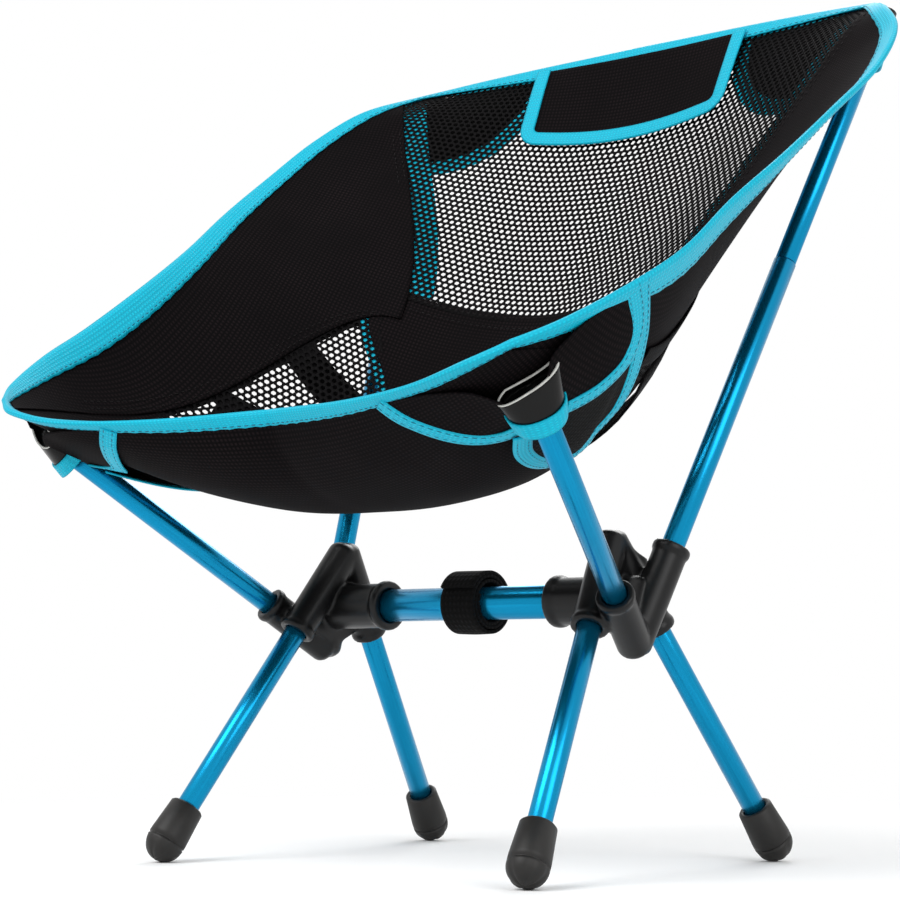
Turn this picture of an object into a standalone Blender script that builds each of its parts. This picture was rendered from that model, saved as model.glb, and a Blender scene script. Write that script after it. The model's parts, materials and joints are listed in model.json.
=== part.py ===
"""Ultralight backpacking chair: a shock-corded tube frame on two moulded hubs, with a sewn bucket sling.

Metres, +Z up. The chair faces -Y and is symmetric about X = 0. The floor is Z = 0.
"""

import math

import bmesh
import bpy
import numpy as np
from mathutils import Matrix, Vector

MM = 0.001

# Fits and facets
CLEARANCE = 0.3 * MM
ROUND_STEPS = 20
COLLAR_STEPS = 24
SLEEVE_STEPS = 16
CORD_STEPS = 8
MERGE = 0.01 * MM
SHARP_EDGE = math.radians(40)

# Frame tubes
POLE_D = 11.0 * MM
POLE_WALL = 0.9 * MM
UPPER_POLE_D = 10.3 * MM
CROSSBAR_D = 16.0 * MM
CROSSBAR_WALL = 1.1 * MM
CORD_D = 2.6 * MM
KNOT_D = 5.6 * MM

# Where the frame stands, on the +X side: the other side mirrors it
FRAME_Y = 11.5 * MM
CROSSBAR_Z = 123.5 * MM
LEG_CROSS = Vector((84.0 * MM, FRAME_Y, 150.0 * MM))
FRONT_FOOT = Vector((110.9 * MM, FRAME_Y - 96.3 * MM, 9.0 * MM))
REAR_FOOT = Vector((108.8 * MM, FRAME_Y + 96.3 * MM, 9.0 * MM))
UPRIGHT_CROSS = Vector((97.0 * MM, FRAME_Y, 103.5 * MM))
FRONT_UPRIGHT_AIM = Vector((156.4 * MM, FRAME_Y - 162.4 * MM, 220.0 * MM))
REAR_UPRIGHT_AIM = Vector((151.1 * MM, FRAME_Y + 142.3 * MM, 420.0 * MM))
REAR_SPLIT_Z = 287.5 * MM

# Hubs: the length of each socket is measured from where the socket axes cross
HUB_INNER_X = 52.0 * MM
HUB_OUTER_X = 101.0 * MM
COLLAR_D = 22.5 * MM
COLLAR_LIP_D = 25.0 * MM
COLLAR_LIP = 4.0 * MM
COLLAR_LIP_SLOPE = 1.0 * MM
COLLAR_LIP_EDGE = 0.8 * MM
COLLAR_END_EDGE = 2.0 * MM
CROSSBAR_SEAT = 16.0 * MM
CUT_OVERSHOOT = 4.0 * MM
SOCKET_WALL = 2.5 * MM
SOCKET_LIP = 0.9 * MM
SOCKET_LIP_LENGTH = 3.5 * MM
LEG_SOCKET_REACH = 49.0 * MM
FRONT_SOCKET_REACH = 38.5 * MM
REAR_SOCKET_REACH = 50.0 * MM
SOCKET_DEPTH = 24.0 * MM
WEB_THICKNESS = 3.0 * MM
WEB_X = 91.0 * MM
WEB_TRIM = 6.0 * MM

# Feet
FOOT_R = 9.5 * MM
FOOT_LENGTH = 30.0 * MM
FOOT_NECK_R = 8.2 * MM
FOOT_SOCKET = 18.0 * MM
FOOT_GROOVE = 0.8 * MM
FOOT_GROOVE_LOW = 1.2 * MM
FOOT_GROOVE_HIGH = 2.4 * MM
FOOT_GROOVE_SLOPE = 0.6 * MM
FOOT_SHOULDER = 4.0 * MM
FOOT_EDGE = 1.2 * MM
FOOT_EDGE_R = 0.8 * MM

# Section joint of the rear uprights, and the plugs in the upright tips
FERRULE_LENGTH = 34.0 * MM
FERRULE_STICK_OUT = 17.0 * MM
TIP_LENGTH = 9.0 * MM
TIP_PLUG_LENGTH = 12.0 * MM
TIP_DOME = [(0.0, 0.0), (0.55, 0.6 * MM), (0.85, 2.4 * MM), (1.0, 5.5 * MM)]

# Binding strap wound on the crossbar
STRAP_WIDTH = 20.0 * MM
STRAP_THICKNESS = 1.6 * MM
STRAP_LAYER_GAP = 0.5 * MM
STRAP_TURNS = 3.0
STRAP_X = 2.5 * MM

# Sling: cloth thicknesses, binding width and the gap at a seam
CLOTH = 1.2 * MM
BINDING = 2.4 * MM
BINDING_WIDTH = 11.0 * MM
SEAM_GAP = 0.6 * MM
LAYER_GAP = 0.9 * MM
SLEEVE_WALL = 1.2 * MM
SLEEVE_PLAY = 0.6 * MM
SLEEVE_LENGTH = 27.0 * MM
SLEEVE_FLARE = 4.0 * MM
SLEEVE_EDGE = 1.5 * MM
SLEEVE_INNER_EDGE = 2.0 * MM
WING_POINT = 5.0 * MM
WING_FRONT_TUCK = 4.0 * MM
WING_COLUMNS = 7
MIDDLE_COLUMNS = 12
FRONT_ROWS = 9
SEAT_ROWS = 8
LUMBAR_ROWS = 4
BACK_ROWS = 14
WING_SEARCH = 200
PATCH_ROWS = 8
PATCH_COLUMNS = 5
FRONT_TURN = 0.65

# Rim of the sling on the +X half, from the front centre round to the top centre
RIM_FRONT = [
    (0, -129.5, 206), (60, -144.5, 204.5), (110, -157.5, 206.5), (140, -160, 212.5), (157, -151, 220),
]
RIM_SIDE = [
    (157, -151, 220), (172, -133.5, 230.5), (184, -102.5, 249), (187, -73.5, 266), (186, -36.5, 292),
    (190, -0.5, 317), (195, 33.5, 343), (197, 67.5, 368), (190, 97.5, 393), (172, 119.5, 411),
    (151, 148, 422),
]
RIM_TOP = [(0, 161.5, 430), (60, 160, 429), (110, 156, 426.5), (151, 148, 422)]
# Centre line of the sling, from the front edge down over the seat and up the back
CENTRE_LINE = [
    (0, -129.5, 206), (0, -119.5, 188), (0, -96.5, 172), (0, -58.5, 165.5), (0, -16.5, 174),
    (0, 25.5, 205), (0, 64.5, 254), (0, 108.5, 319), (0, 141.5, 377), (0, 161.5, 430),
]
# Share of the section's curve that is a flat-bottomed bucket, greatest at the seat
BUCKET_SHARE = 0.70
BUCKET_AT = 0.27
BUCKET_SPREAD = 0.20
BUCKET_POWER = 3.0
# How round the centre of a section is, at the front, the seat, the lower back and the top
SECTION_AT = [0.0, 0.3, 0.6, 1.0]
SECTION_ROUND = [0.9, 1.0, 0.6, 0.4]
EDGE_BLEND = 3.0

# Seams of the sling, as shares of the way from front to top
FRONT_SEAM_V = 0.27
LUMBAR_LOW_V = 0.455
LUMBAR_SIDE_V = 0.555
LUMBAR_HIGH_V = 0.600
# Share of the band's half width at which its lower edge starts to rise, and how fast it does
LUMBAR_TONGUE = 0.56
LUMBAR_TONGUE_POWER = 0.8
# Side seam between wing and middle panels, as a share of the half width
SEAM_WAIST_U = 0.44
SEAM_WAIST_V = 0.56
SEAM_TOP_RISE = 0.617
SEAM_TOP_POWER = 1.66
SEAM_FRONT_RISE = 0.47
SEAM_FRONT_POWER = 0.45

# Pieces sewn on the panels, in shares across (u) and from front to top (v)
OVERLAY_LIFT = CLOTH + LAYER_GAP
LABEL_HALF_WIDTH = 69.0 * MM
LABEL_LOW_V = 0.862
LABEL_TOP_V = 0.972
LABEL_TAPE_WIDTH = 8.25 * MM
LABEL_TAPE = 1.44 * MM
PATCH_LOW_V = 0.80
PATCH_TOP_V = 0.965
PATCH_INNER_SHARE = 0.62
PATCH_NARROWING = 0.7
PATCH_INSET = 2.0 * MM
FRONT_FLAP_TOP_V = 0.135
FRONT_FLAP_INNER_U = 0.49
FRONT_FLAP_SLANT = 0.95
FRONT_FLAP_OUTER_U = 0.71
SIDE_FLAP_LOW_V = 0.205
SIDE_FLAP_TOP_V = 0.285
SIDE_FLAP_INNER_U = 0.60
SIDE_FLAP_SLANT = 1.6
SIDE_FLAP_OUTER_U = 0.92
SEAT_STRAP_WIDTH = 20.0 * MM
SEAT_STRAP_FRONT = (0.755, 0.325)
SEAT_STRAP_BACK = (-0.68, 0.455)
SEAT_STRAP_ROWS = 24
SEAT_STRAP_COLUMNS = 3


def mm_points(rows):
    """Turns rows of millimetres into an array of metres."""
    return np.array(rows, float) * MM


def smooth_through(points, share):
    """Point at a share of the length of a smooth curve through the given points."""
    steps = np.linalg.norm(np.diff(points, axis=0), axis=1)
    knots = np.concatenate([[0.0], np.cumsum(steps)])
    knots /= knots[-1]
    count = len(points)
    index = min(max(int(np.searchsorted(knots, share, side="right")) - 1, 0), count - 2)
    width = knots[index + 1] - knots[index]
    t = (share - knots[index]) / width

    def slope(at):
        before = max(at - 1, 0)
        after = min(at + 1, count - 1)
        return (points[after] - points[before]) / (knots[after] - knots[before])

    start, end = points[index], points[index + 1]
    start_slope = slope(index) * width
    end_slope = slope(index + 1) * width
    return (
        start * (2 * t**3 - 3 * t**2 + 1)
        + start_slope * (t**3 - 2 * t**2 + t)
        + end * (3 * t**2 - 2 * t**3)
        + end_slope * (t**3 - t**2)
    )


RIM_FRONT_M = mm_points(RIM_FRONT)
RIM_SIDE_M = mm_points(RIM_SIDE)
RIM_TOP_M = mm_points(RIM_TOP)
CENTRE_LINE_M = mm_points(CENTRE_LINE)


def section_share(u, v):
    """How far a section has risen from the centre line to the rim, at a share of the half width."""
    roundness = float(np.interp(v, SECTION_AT, SECTION_ROUND))
    taut = (math.hypot(u, roundness) - roundness) / (math.hypot(1.0, roundness) - roundness)
    bucket = BUCKET_SHARE * math.exp(-(((v - BUCKET_AT) / BUCKET_SPREAD) ** 2))
    return (1.0 - bucket) * taut + bucket * u**BUCKET_POWER


def drawn_section(u, v):
    """Point of the sling between its centre line and its side rim."""
    centre = smooth_through(CENTRE_LINE_M, v)
    rim = smooth_through(RIM_SIDE_M, v)
    point = centre + (rim - centre) * section_share(u, v)
    point[0] = rim[0] * u
    return point


def sling_point(u, v):
    """Point of the sling's middle surface: u runs -1 to 1 across, v runs 0 to 1 from front to top."""
    half = abs(u)
    front = smooth_through(RIM_FRONT_M, half) - drawn_section(half, 0.0)
    top = smooth_through(RIM_TOP_M, half) - drawn_section(half, 1.0)
    point = drawn_section(half, v) + front * (1.0 - v) ** EDGE_BLEND + top * v**EDGE_BLEND
    return Vector((math.copysign(point[0], u) if u else 0.0, point[1], point[2]))


def sling_normal(u, v):
    """Direction out of the sling's hollow, square to its surface."""
    step = 0.01
    u_low, u_high = max(u - step, -1.0), min(u + step, 1.0)
    v_low, v_high = max(v - step, 0.0), min(v + step, 1.0)
    across = sling_point(u_high, v) - sling_point(u_low, v)
    along = sling_point(u, v_high) - sling_point(u, v_low)
    return along.cross(across).normalized()


def half_width(v):
    """Length in metres from the centre line to the rim, about."""
    return (sling_point(1.0, v) - sling_point(0.0, v)).length


CENTRE_LENGTH = float(np.linalg.norm(np.diff(CENTRE_LINE_M, axis=0), axis=1).sum())


def side_seam(v):
    """Share of the half width at which the wing meets the middle panels."""
    if v >= SEAM_WAIST_V:
        rise = (v - SEAM_WAIST_V) / (1.0 - SEAM_WAIST_V)
        return SEAM_WAIST_U + SEAM_TOP_RISE * rise**SEAM_TOP_POWER
    rise = (SEAM_WAIST_V - v) / SEAM_WAIST_V
    return SEAM_WAIST_U + SEAM_FRONT_RISE * rise**SEAM_FRONT_POWER


def clear_scene():
    """Removes every object of the startup scene."""
    for obj in list(bpy.data.objects):
        bpy.data.objects.remove(obj, do_unlink=True)


def new_collection(name):
    """Makes a collection in the scene."""
    collection = bpy.data.collections.new(name)
    bpy.context.scene.collection.children.link(collection)
    return collection


def new_material(name, colour, roughness, metallic=0.0):
    """Makes a Principled material of one colour."""
    material = bpy.data.materials.new(name)
    material.use_nodes = True
    shader = material.node_tree.nodes["Principled BSDF"]
    shader.inputs["Base Color"].default_value = (*colour, 1.0)
    shader.inputs["Roughness"].default_value = roughness
    shader.inputs["Metallic"].default_value = metallic
    return material


clear_scene()
CHAIR = new_collection("backpacking_chair")
CUTTERS = new_collection("cutters")
BLUE = new_material("blue_anodised_aluminium", (0.0, 0.25, 0.56), 0.3, 1.0)
BARE = new_material("bare_aluminium", (0.8, 0.8, 0.82), 0.35, 1.0)
BLACK_PLASTIC = new_material("black_nylon", (0.012, 0.012, 0.013), 0.45)
RUBBER = new_material("black_rubber", (0.02, 0.02, 0.02), 0.8)
WOVEN = new_material("black_woven_polyester", (0.015, 0.014, 0.015), 0.85)
MESH = new_material("black_mesh", (0.02, 0.02, 0.02), 0.8)
CYAN = new_material("cyan_binding_tape", (0.01, 0.5, 0.72), 0.7)
SLEEVE = new_material("black_vinyl", (0.015, 0.015, 0.016), 0.3)
CORD = new_material("elastic_cord", (0.75, 0.75, 0.73), 0.8)
WEBBING = new_material("black_webbing", (0.02, 0.02, 0.02), 0.8)


def link(obj, material, collection=None):
    """Puts an object in its collection with its material."""
    (collection or CHAIR).objects.link(obj)
    obj.data.materials.append(material)
    return obj


def as_cutter(obj):
    """Keeps an object out of the part: it only shapes another."""
    obj.hide_render = True
    obj.display_type = "WIRE"
    return obj


def turned_mesh(name, profile, steps=ROUND_STEPS, closed=True):
    """Mesh turned about Z from (radius, height) points that run down the outer side."""
    mesh = bpy.data.meshes.new(name)
    shape = bmesh.new()
    verts = [shape.verts.new((radius, 0.0, height)) for radius, height in profile]
    for first, second in zip(verts, verts[1:]):
        shape.edges.new((first, second))
    if closed:
        shape.edges.new((verts[-1], verts[0]))
    bmesh.ops.spin(
        shape,
        geom=shape.verts[:] + shape.edges[:],
        cent=(0, 0, 0),
        axis=(0, 0, 1),
        angle=2 * math.pi,
        steps=steps,
        use_merge=True,
    )
    bmesh.ops.remove_doubles(shape, verts=shape.verts[:], dist=MERGE)
    bmesh.ops.recalc_face_normals(shape, faces=shape.faces[:])
    shape.to_mesh(mesh)
    shape.free()
    mesh.shade_smooth()
    mesh.set_sharp_from_angle(angle=SHARP_EDGE)
    return mesh


def aim(obj, base, direction):
    """Places an object with its Z axis along a direction."""
    obj.location = base
    obj.rotation_euler = direction.to_track_quat("Z", "Y").to_euler()
    return obj


def turned(name, profile, base, direction, material, steps=ROUND_STEPS, closed=True, collection=None):
    """Turned piece that stands on a base point and points along a direction."""
    obj = bpy.data.objects.new(name, turned_mesh(name, profile, steps, closed))
    link(obj, material, collection)
    return aim(obj, base, direction)


def tube_profile(outer_r, inner_r, length):
    """Outline of a tube's wall."""
    return [(outer_r, length), (outer_r, 0.0), (inner_r, 0.0), (inner_r, length)]


def tube(name, start, end, diameter, wall, material):
    """Straight hollow tube between two points."""
    run = end - start
    profile = tube_profile(diameter / 2, diameter / 2 - wall, run.length)
    return turned(name, profile, start, run.normalized(), material)


def mirrored(point, side):
    """The same point on the +X side (side 1) or the -X side (side -1)."""
    return Vector((point.x * side, point.y, point.z))


def boolean(obj, other, operation):
    """Adds a Boolean that keeps the exact solver."""
    modifier = obj.modifiers.new(f"{operation.lower()}_{other.name}", "BOOLEAN")
    modifier.object = other
    modifier.operation = operation
    modifier.solver = "EXACT"


LEG_DIRECTIONS = {
    "front": (FRONT_FOOT - LEG_CROSS).normalized(),
    "rear": (REAR_FOOT - LEG_CROSS).normalized(),
}
UPRIGHT_DIRECTIONS = {
    "front": (FRONT_UPRIGHT_AIM - UPRIGHT_CROSS).normalized(),
    "rear": (REAR_UPRIGHT_AIM - UPRIGHT_CROSS).normalized(),
}
SOCKETS = {
    "front_leg": (LEG_CROSS, LEG_DIRECTIONS["front"], LEG_SOCKET_REACH),
    "rear_leg": (LEG_CROSS, LEG_DIRECTIONS["rear"], LEG_SOCKET_REACH),
    "front_upright": (UPRIGHT_CROSS, UPRIGHT_DIRECTIONS["front"], FRONT_SOCKET_REACH),
    "rear_upright": (UPRIGHT_CROSS, UPRIGHT_DIRECTIONS["rear"], REAR_SOCKET_REACH),
}
SIDES = {"right": 1, "left": -1}


def socket_floor(name):
    """Point on a socket's axis where its bore ends."""
    cross, direction, reach = SOCKETS[name]
    return cross + direction * (reach - SOCKET_DEPTH)


def socket_profile(reach):
    """Outline of a socket: a round closed end at the crossing and a lip round its mouth."""
    outer = POLE_D / 2 + CLEARANCE + SOCKET_WALL
    dome = [
        (outer * math.sin(turn), -outer * 0.6 * math.cos(turn))
        for turn in np.linspace(math.radians(72), 0.0, 4)
    ]
    dome[-1] = (0.0, dome[-1][1])
    return [
        (0.0, reach),
        (outer + SOCKET_LIP * 0.5, reach),
        (outer + SOCKET_LIP, reach - SOCKET_LIP),
        (outer + SOCKET_LIP, reach - SOCKET_LIP_LENGTH),
        (outer, reach - SOCKET_LIP_LENGTH - SOCKET_LIP),
        (outer, 0.0),
        *dome,
    ]


def hub_web(name, side):
    """Thin plate that ties the four sockets of a hub together."""
    reach = {
        key: cross + direction * (length - WEB_TRIM)
        for key, (cross, direction, length) in SOCKETS.items()
    }
    outline = [
        reach["front_leg"],
        reach["front_upright"],
        LEG_CROSS,
        reach["rear_upright"],
        reach["rear_leg"],
        UPRIGHT_CROSS,
    ]
    curve = bpy.data.curves.new(name, "CURVE")
    curve.dimensions = "2D"
    curve.fill_mode = "BOTH"
    curve.extrude = WEB_THICKNESS / 2
    spline = curve.splines.new("POLY")
    spline.points.add(len(outline) - 1)
    for point, corner in zip(spline.points, outline):
        point.co = (corner.y, corner.z, 0.0, 1.0)
    spline.use_cyclic_u = True
    flat = bpy.data.objects.new(f"{name}_outline", curve)
    CUTTERS.objects.link(flat)
    bpy.context.view_layer.update()
    mesh = bpy.data.meshes.new_from_object(flat.evaluated_get(bpy.context.evaluated_depsgraph_get()))
    bpy.data.objects.remove(flat, do_unlink=True)
    shape = bmesh.new()
    shape.from_mesh(mesh)
    bmesh.ops.remove_doubles(shape, verts=shape.verts[:], dist=MERGE)
    stand = Matrix(((0, 0, 1, 0), (1, 0, 0, 0), (0, 1, 0, 0), (0, 0, 0, 1)))
    bmesh.ops.transform(shape, matrix=stand, verts=shape.verts[:])
    bmesh.ops.recalc_face_normals(shape, faces=shape.faces[:])
    shape.to_mesh(mesh)
    shape.free()
    web = bpy.data.objects.new(name, mesh)
    web.location.x = WEB_X * side
    return as_cutter(link(web, BLACK_PLASTIC, CUTTERS))


def hub(side_name):
    """Moulded hub: a collar on the crossbar, four crossing sockets and the web between them."""
    side = SIDES[side_name]
    name = f"hub_{side_name}"
    length = HUB_OUTER_X - HUB_INNER_X
    out = Vector((side, 0, 0))
    base = Vector((HUB_INNER_X * side, FRAME_Y, CROSSBAR_Z))
    profile = [
        (0.0, length),
        (COLLAR_D / 2 - COLLAR_END_EDGE, length),
        (COLLAR_D / 2, length - COLLAR_END_EDGE),
        (COLLAR_D / 2, COLLAR_LIP + COLLAR_LIP_SLOPE),
        (COLLAR_LIP_D / 2, COLLAR_LIP),
        (COLLAR_LIP_D / 2, COLLAR_LIP_EDGE),
        (COLLAR_LIP_D / 2 - COLLAR_LIP_EDGE, 0.0),
        (0.0, 0.0),
    ]
    body = turned(name, profile, base, out, BLACK_PLASTIC, COLLAR_STEPS, closed=False)
    boolean(body, hub_web(f"{name}_web", side), "UNION")
    for key, (cross, direction, reach) in SOCKETS.items():
        socket = turned(
            f"{name}_{key}_socket",
            socket_profile(reach),
            mirrored(cross, side),
            mirrored(direction, side),
            BLACK_PLASTIC,
            closed=False,
            collection=CUTTERS,
        )
        boolean(body, as_cutter(socket), "UNION")
    for key, (_, direction, _) in SOCKETS.items():
        bore_r = POLE_D / 2 + CLEARANCE
        bore_end = SOCKET_DEPTH + CUT_OVERSHOOT
        bore = turned(
            f"{name}_{key}_bore",
            [(0.0, bore_end), (bore_r, bore_end), (bore_r, 0.0), (0.0, 0.0)],
            mirrored(socket_floor(key), side),
            mirrored(direction, side),
            BLACK_PLASTIC,
            closed=False,
            collection=CUTTERS,
        )
        boolean(body, as_cutter(bore), "DIFFERENCE")
    bar_r = CROSSBAR_D / 2 + CLEARANCE
    bar_depth = crossbar_end() - HUB_INNER_X + CLEARANCE
    bar_bore = turned(
        f"{name}_bar_bore",
        [(0.0, bar_depth), (bar_r, bar_depth), (bar_r, -CUT_OVERSHOOT), (0.0, -CUT_OVERSHOOT)],
        base,
        out,
        BLACK_PLASTIC,
        COLLAR_STEPS,
        closed=False,
        collection=CUTTERS,
    )
    boolean(body, as_cutter(bar_bore), "DIFFERENCE")
    return body


def crossbar_end():
    """Distance from the middle to where the crossbar seats in a hub, clear of the socket bores."""
    return HUB_INNER_X + CROSSBAR_SEAT


def cord(name, start, end):
    """Elastic cord with a knot at each end, that lies along a tube."""
    run = end - start
    length = run.length
    knot = KNOT_D / 2
    thin = CORD_D / 2
    profile = [
        (0.0, length),
        (knot * 0.7, length - knot * 0.3),
        (knot, length - knot),
        (knot * 0.7, length - 1.7 * knot),
        (thin, length - 2 * knot),
        (thin, 2 * knot),
        (knot * 0.7, 1.7 * knot),
        (knot, knot),
        (knot * 0.7, knot * 0.3),
        (0.0, 0.0),
    ]
    return turned(name, profile, start, run.normalized(), CORD, CORD_STEPS, closed=False)


def foot(name, centre, direction, floor):
    """Rubber foot: a bullet tip with a bore for its leg, flat where it meets the floor."""
    bore_r = POLE_D / 2 + CLEARANCE
    top = FOOT_LENGTH - FOOT_R
    ball = [
        (FOOT_R * math.cos(turn), FOOT_R * math.sin(turn))
        for turn in np.linspace(0.0, math.radians(-90), 7)
    ]
    ball[-1] = (0.0, -FOOT_R)
    profile = [
        (0.0, top - FOOT_SOCKET),
        (bore_r, top - FOOT_SOCKET),
        (bore_r, top),
        (FOOT_NECK_R - FOOT_EDGE_R, top),
        (FOOT_NECK_R, top - FOOT_EDGE),
        (FOOT_R, top - FOOT_SHOULDER),
        (FOOT_R, FOOT_GROOVE_HIGH + FOOT_GROOVE_SLOPE),
        (FOOT_R - FOOT_GROOVE, FOOT_GROOVE_HIGH),
        (FOOT_R - FOOT_GROOVE, FOOT_GROOVE_LOW),
        *ball,
    ]
    piece = turned(name, profile, centre, -direction, RUBBER, closed=False)
    boolean(piece, floor, "DIFFERENCE")
    return piece


def foot_seat(centre, direction):
    """Point on a leg's axis where the leg's end rests in its foot."""
    return centre - direction * (FOOT_LENGTH - FOOT_R - FOOT_SOCKET)


def leg(side_name, end_name, floor):
    """Leg tube, its foot and the cord inside it."""
    side = SIDES[side_name]
    name = f"{end_name}_leg"
    centre = mirrored(FRONT_FOOT if end_name == "front" else REAR_FOOT, side)
    direction = mirrored(LEG_DIRECTIONS[end_name], side)
    seat = foot_seat(centre, direction) - direction * CLEARANCE
    start = mirrored(socket_floor(name), side) + direction * CLEARANCE
    tube(f"{name}_tube_{side_name}", start, seat, POLE_D, POLE_WALL, BLUE)
    foot(f"{end_name}_foot_{side_name}", centre, direction, floor)
    cord(f"{name}_cord_{side_name}", start, seat)


SLING_SAMPLES = [
    sling_point(u, v) for u in np.linspace(0.0, 1.0, 41) for v in np.linspace(0.0, 1.0, 61)
]


def reach_to_sling(start, direction, radius):
    """How far a round piece of this radius can run along its axis before it meets the sling's cloth."""
    room = radius + BINDING / 2 + CLEARANCE
    shortest = math.inf
    for sample in SLING_SAMPLES:
        offset = sample - start
        along = offset.dot(direction)
        across = (offset - direction * along).length
        if across < room and along > 0.0:
            shortest = min(shortest, along)
    return shortest - BINDING / 2 - CLEARANCE


def upright_tip(end_name):
    """Where the closed end of a pocket sleeve lies on an upright's axis, on the +X side."""
    cross, direction, _ = SOCKETS[f"{end_name}_upright"]
    return cross + direction * reach_to_sling(cross, direction, sleeve_radius(end_name))


def upright_diameter(end_name):
    """The diameter of the section of an upright that carries the sling."""
    return POLE_D if end_name == "front" else UPPER_POLE_D


def sleeve_radius(end_name):
    """Outer radius of a pocket sleeve at its closed end."""
    return upright_diameter(end_name) / 2 + SLEEVE_PLAY + SLEEVE_WALL


def pocket_sleeve(side_name, end_name, tip, direction):
    """Vinyl sleeve, closed at the top, that takes the tip of an upright."""
    outer = sleeve_radius(end_name)
    inner = outer - SLEEVE_WALL
    mouth = SLEEVE_FLARE
    length = SLEEVE_LENGTH
    profile = [
        (0.0, length),
        (outer - SLEEVE_EDGE, length),
        (outer, length - SLEEVE_EDGE),
        (outer + mouth, 0.0),
        (inner + mouth, 0.0),
        (inner, length - SLEEVE_WALL - SLEEVE_INNER_EDGE),
        (inner - SLEEVE_INNER_EDGE, length - SLEEVE_WALL),
        (0.0, length - SLEEVE_WALL),
    ]
    base = tip - direction * length
    name = f"{end_name}_pocket_sleeve_{side_name}"
    turned(name, profile, base, direction, SLEEVE, SLEEVE_STEPS, closed=False)


def tip_plug(name, tube_end, direction, diameter):
    """Domed plug that closes the upper end of an upright."""
    outer = diameter / 2
    inner = diameter / 2 - POLE_WALL - CLEARANCE
    profile = [
        *[(outer * share, TIP_LENGTH - drop) for share, drop in TIP_DOME],
        (outer, CLEARANCE),
        (inner, CLEARANCE),
        (inner, -TIP_PLUG_LENGTH),
        (0.0, -TIP_PLUG_LENGTH),
    ]
    turned(name, profile, tube_end, direction, BLACK_PLASTIC, SLEEVE_STEPS, closed=False)


def upright(side_name, end_name):
    """Upright tubes, the plug in the tip, the cord inside and the sling's pocket sleeve."""
    side = SIDES[side_name]
    direction = mirrored(UPRIGHT_DIRECTIONS[end_name], side)
    tip = mirrored(upright_tip(end_name), side)
    start = mirrored(socket_floor(f"{end_name}_upright"), side) + direction * CLEARANCE
    end = tip - direction * (SLEEVE_WALL + TIP_LENGTH + CLEARANCE)
    diameter = upright_diameter(end_name)
    if end_name == "front":
        tube(f"front_upright_tube_{side_name}", start, end, POLE_D, POLE_WALL, BLUE)
    else:
        split = start + direction * ((REAR_SPLIT_Z - start.z) / direction.z)
        tube(f"rear_upright_lower_tube_{side_name}", start, split, POLE_D, POLE_WALL, BLUE)
        upper = split + direction * CLEARANCE
        tube(f"rear_upright_upper_tube_{side_name}", upper, end, UPPER_POLE_D, POLE_WALL, BLUE)
        ferrule_d = UPPER_POLE_D - 2 * (POLE_WALL + CLEARANCE)
        low = split - direction * (FERRULE_LENGTH - FERRULE_STICK_OUT)
        high = split + direction * FERRULE_STICK_OUT
        tube(f"rear_upright_ferrule_{side_name}", low, high, ferrule_d, POLE_WALL, BARE)
    tip_plug(f"{end_name}_tip_plug_{side_name}", end, direction, diameter)
    cord(f"{end_name}_upright_cord_{side_name}", start, end - direction * (TIP_PLUG_LENGTH + CLEARANCE))
    pocket_sleeve(side_name, end_name, tip, direction)


def crossbar():
    """Crossbar tube between the hubs and the cord inside it."""
    end = crossbar_end()
    left = Vector((-end, FRAME_Y, CROSSBAR_Z))
    right = Vector((end, FRAME_Y, CROSSBAR_Z))
    tube("crossbar_tube", left, right, CROSSBAR_D, CROSSBAR_WALL, BLUE)
    cord("crossbar_cord", left, right)


def binding_strap():
    """Hook-and-loop strap wound on the crossbar as a flat spiral."""
    inner = CROSSBAR_D / 2 + CLEARANCE
    pitch = STRAP_THICKNESS + STRAP_LAYER_GAP
    count = int(ROUND_STEPS * STRAP_TURNS)
    mesh = bpy.data.meshes.new("binding_strap")
    shape = bmesh.new()
    ring = []
    for step in range(count + 1):
        turn = 2 * math.pi * STRAP_TURNS * step / count
        radius = inner + pitch * turn / (2 * math.pi)
        ring.append((radius, turn))
    outline = ring + [(radius + STRAP_THICKNESS, turn) for radius, turn in reversed(ring)]
    verts = [
        shape.verts.new((-STRAP_WIDTH / 2, radius * math.sin(turn), -radius * math.cos(turn)))
        for radius, turn in outline
    ]
    last = len(verts) - 1
    faces = [
        shape.faces.new((verts[i], verts[i + 1], verts[last - i - 1], verts[last - i])) for i in range(count)
    ]
    grown = bmesh.ops.extrude_face_region(shape, geom=faces)
    moved = [item for item in grown["geom"] if isinstance(item, bmesh.types.BMVert)]
    bmesh.ops.translate(shape, verts=moved, vec=(STRAP_WIDTH, 0, 0))
    bmesh.ops.recalc_face_normals(shape, faces=shape.faces[:])
    shape.to_mesh(mesh)
    shape.free()
    strap = link(bpy.data.objects.new("binding_strap", mesh), WEBBING)
    strap.location = (STRAP_X, FRAME_Y, CROSSBAR_Z)
    return strap


def cloth(name, rows, material, thickness=CLOTH, lift=0.0, closed=False):
    """Sheet of the sling over rows of (u, v) shares, lifted off its middle surface and given a thickness."""
    mesh = bpy.data.meshes.new(name)
    shape = bmesh.new()
    grid = [
        [shape.verts.new(sling_point(u, v) + sling_normal(u, v) * lift) for u, v in row] for row in rows
    ]
    if closed:
        grid.append(grid[0])
    for lower, upper in zip(grid, grid[1:]):
        for first in range(len(lower) - 1):
            shape.faces.new((lower[first], lower[first + 1], upper[first + 1], upper[first]))
    bmesh.ops.recalc_face_normals(shape, faces=shape.faces[:])
    shape.to_mesh(mesh)
    shape.free()
    obj = link(bpy.data.objects.new(name, mesh), material)
    solid = obj.modifiers.new("thickness", "SOLIDIFY")
    solid.thickness = thickness
    solid.offset = 0.0
    return obj


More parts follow.
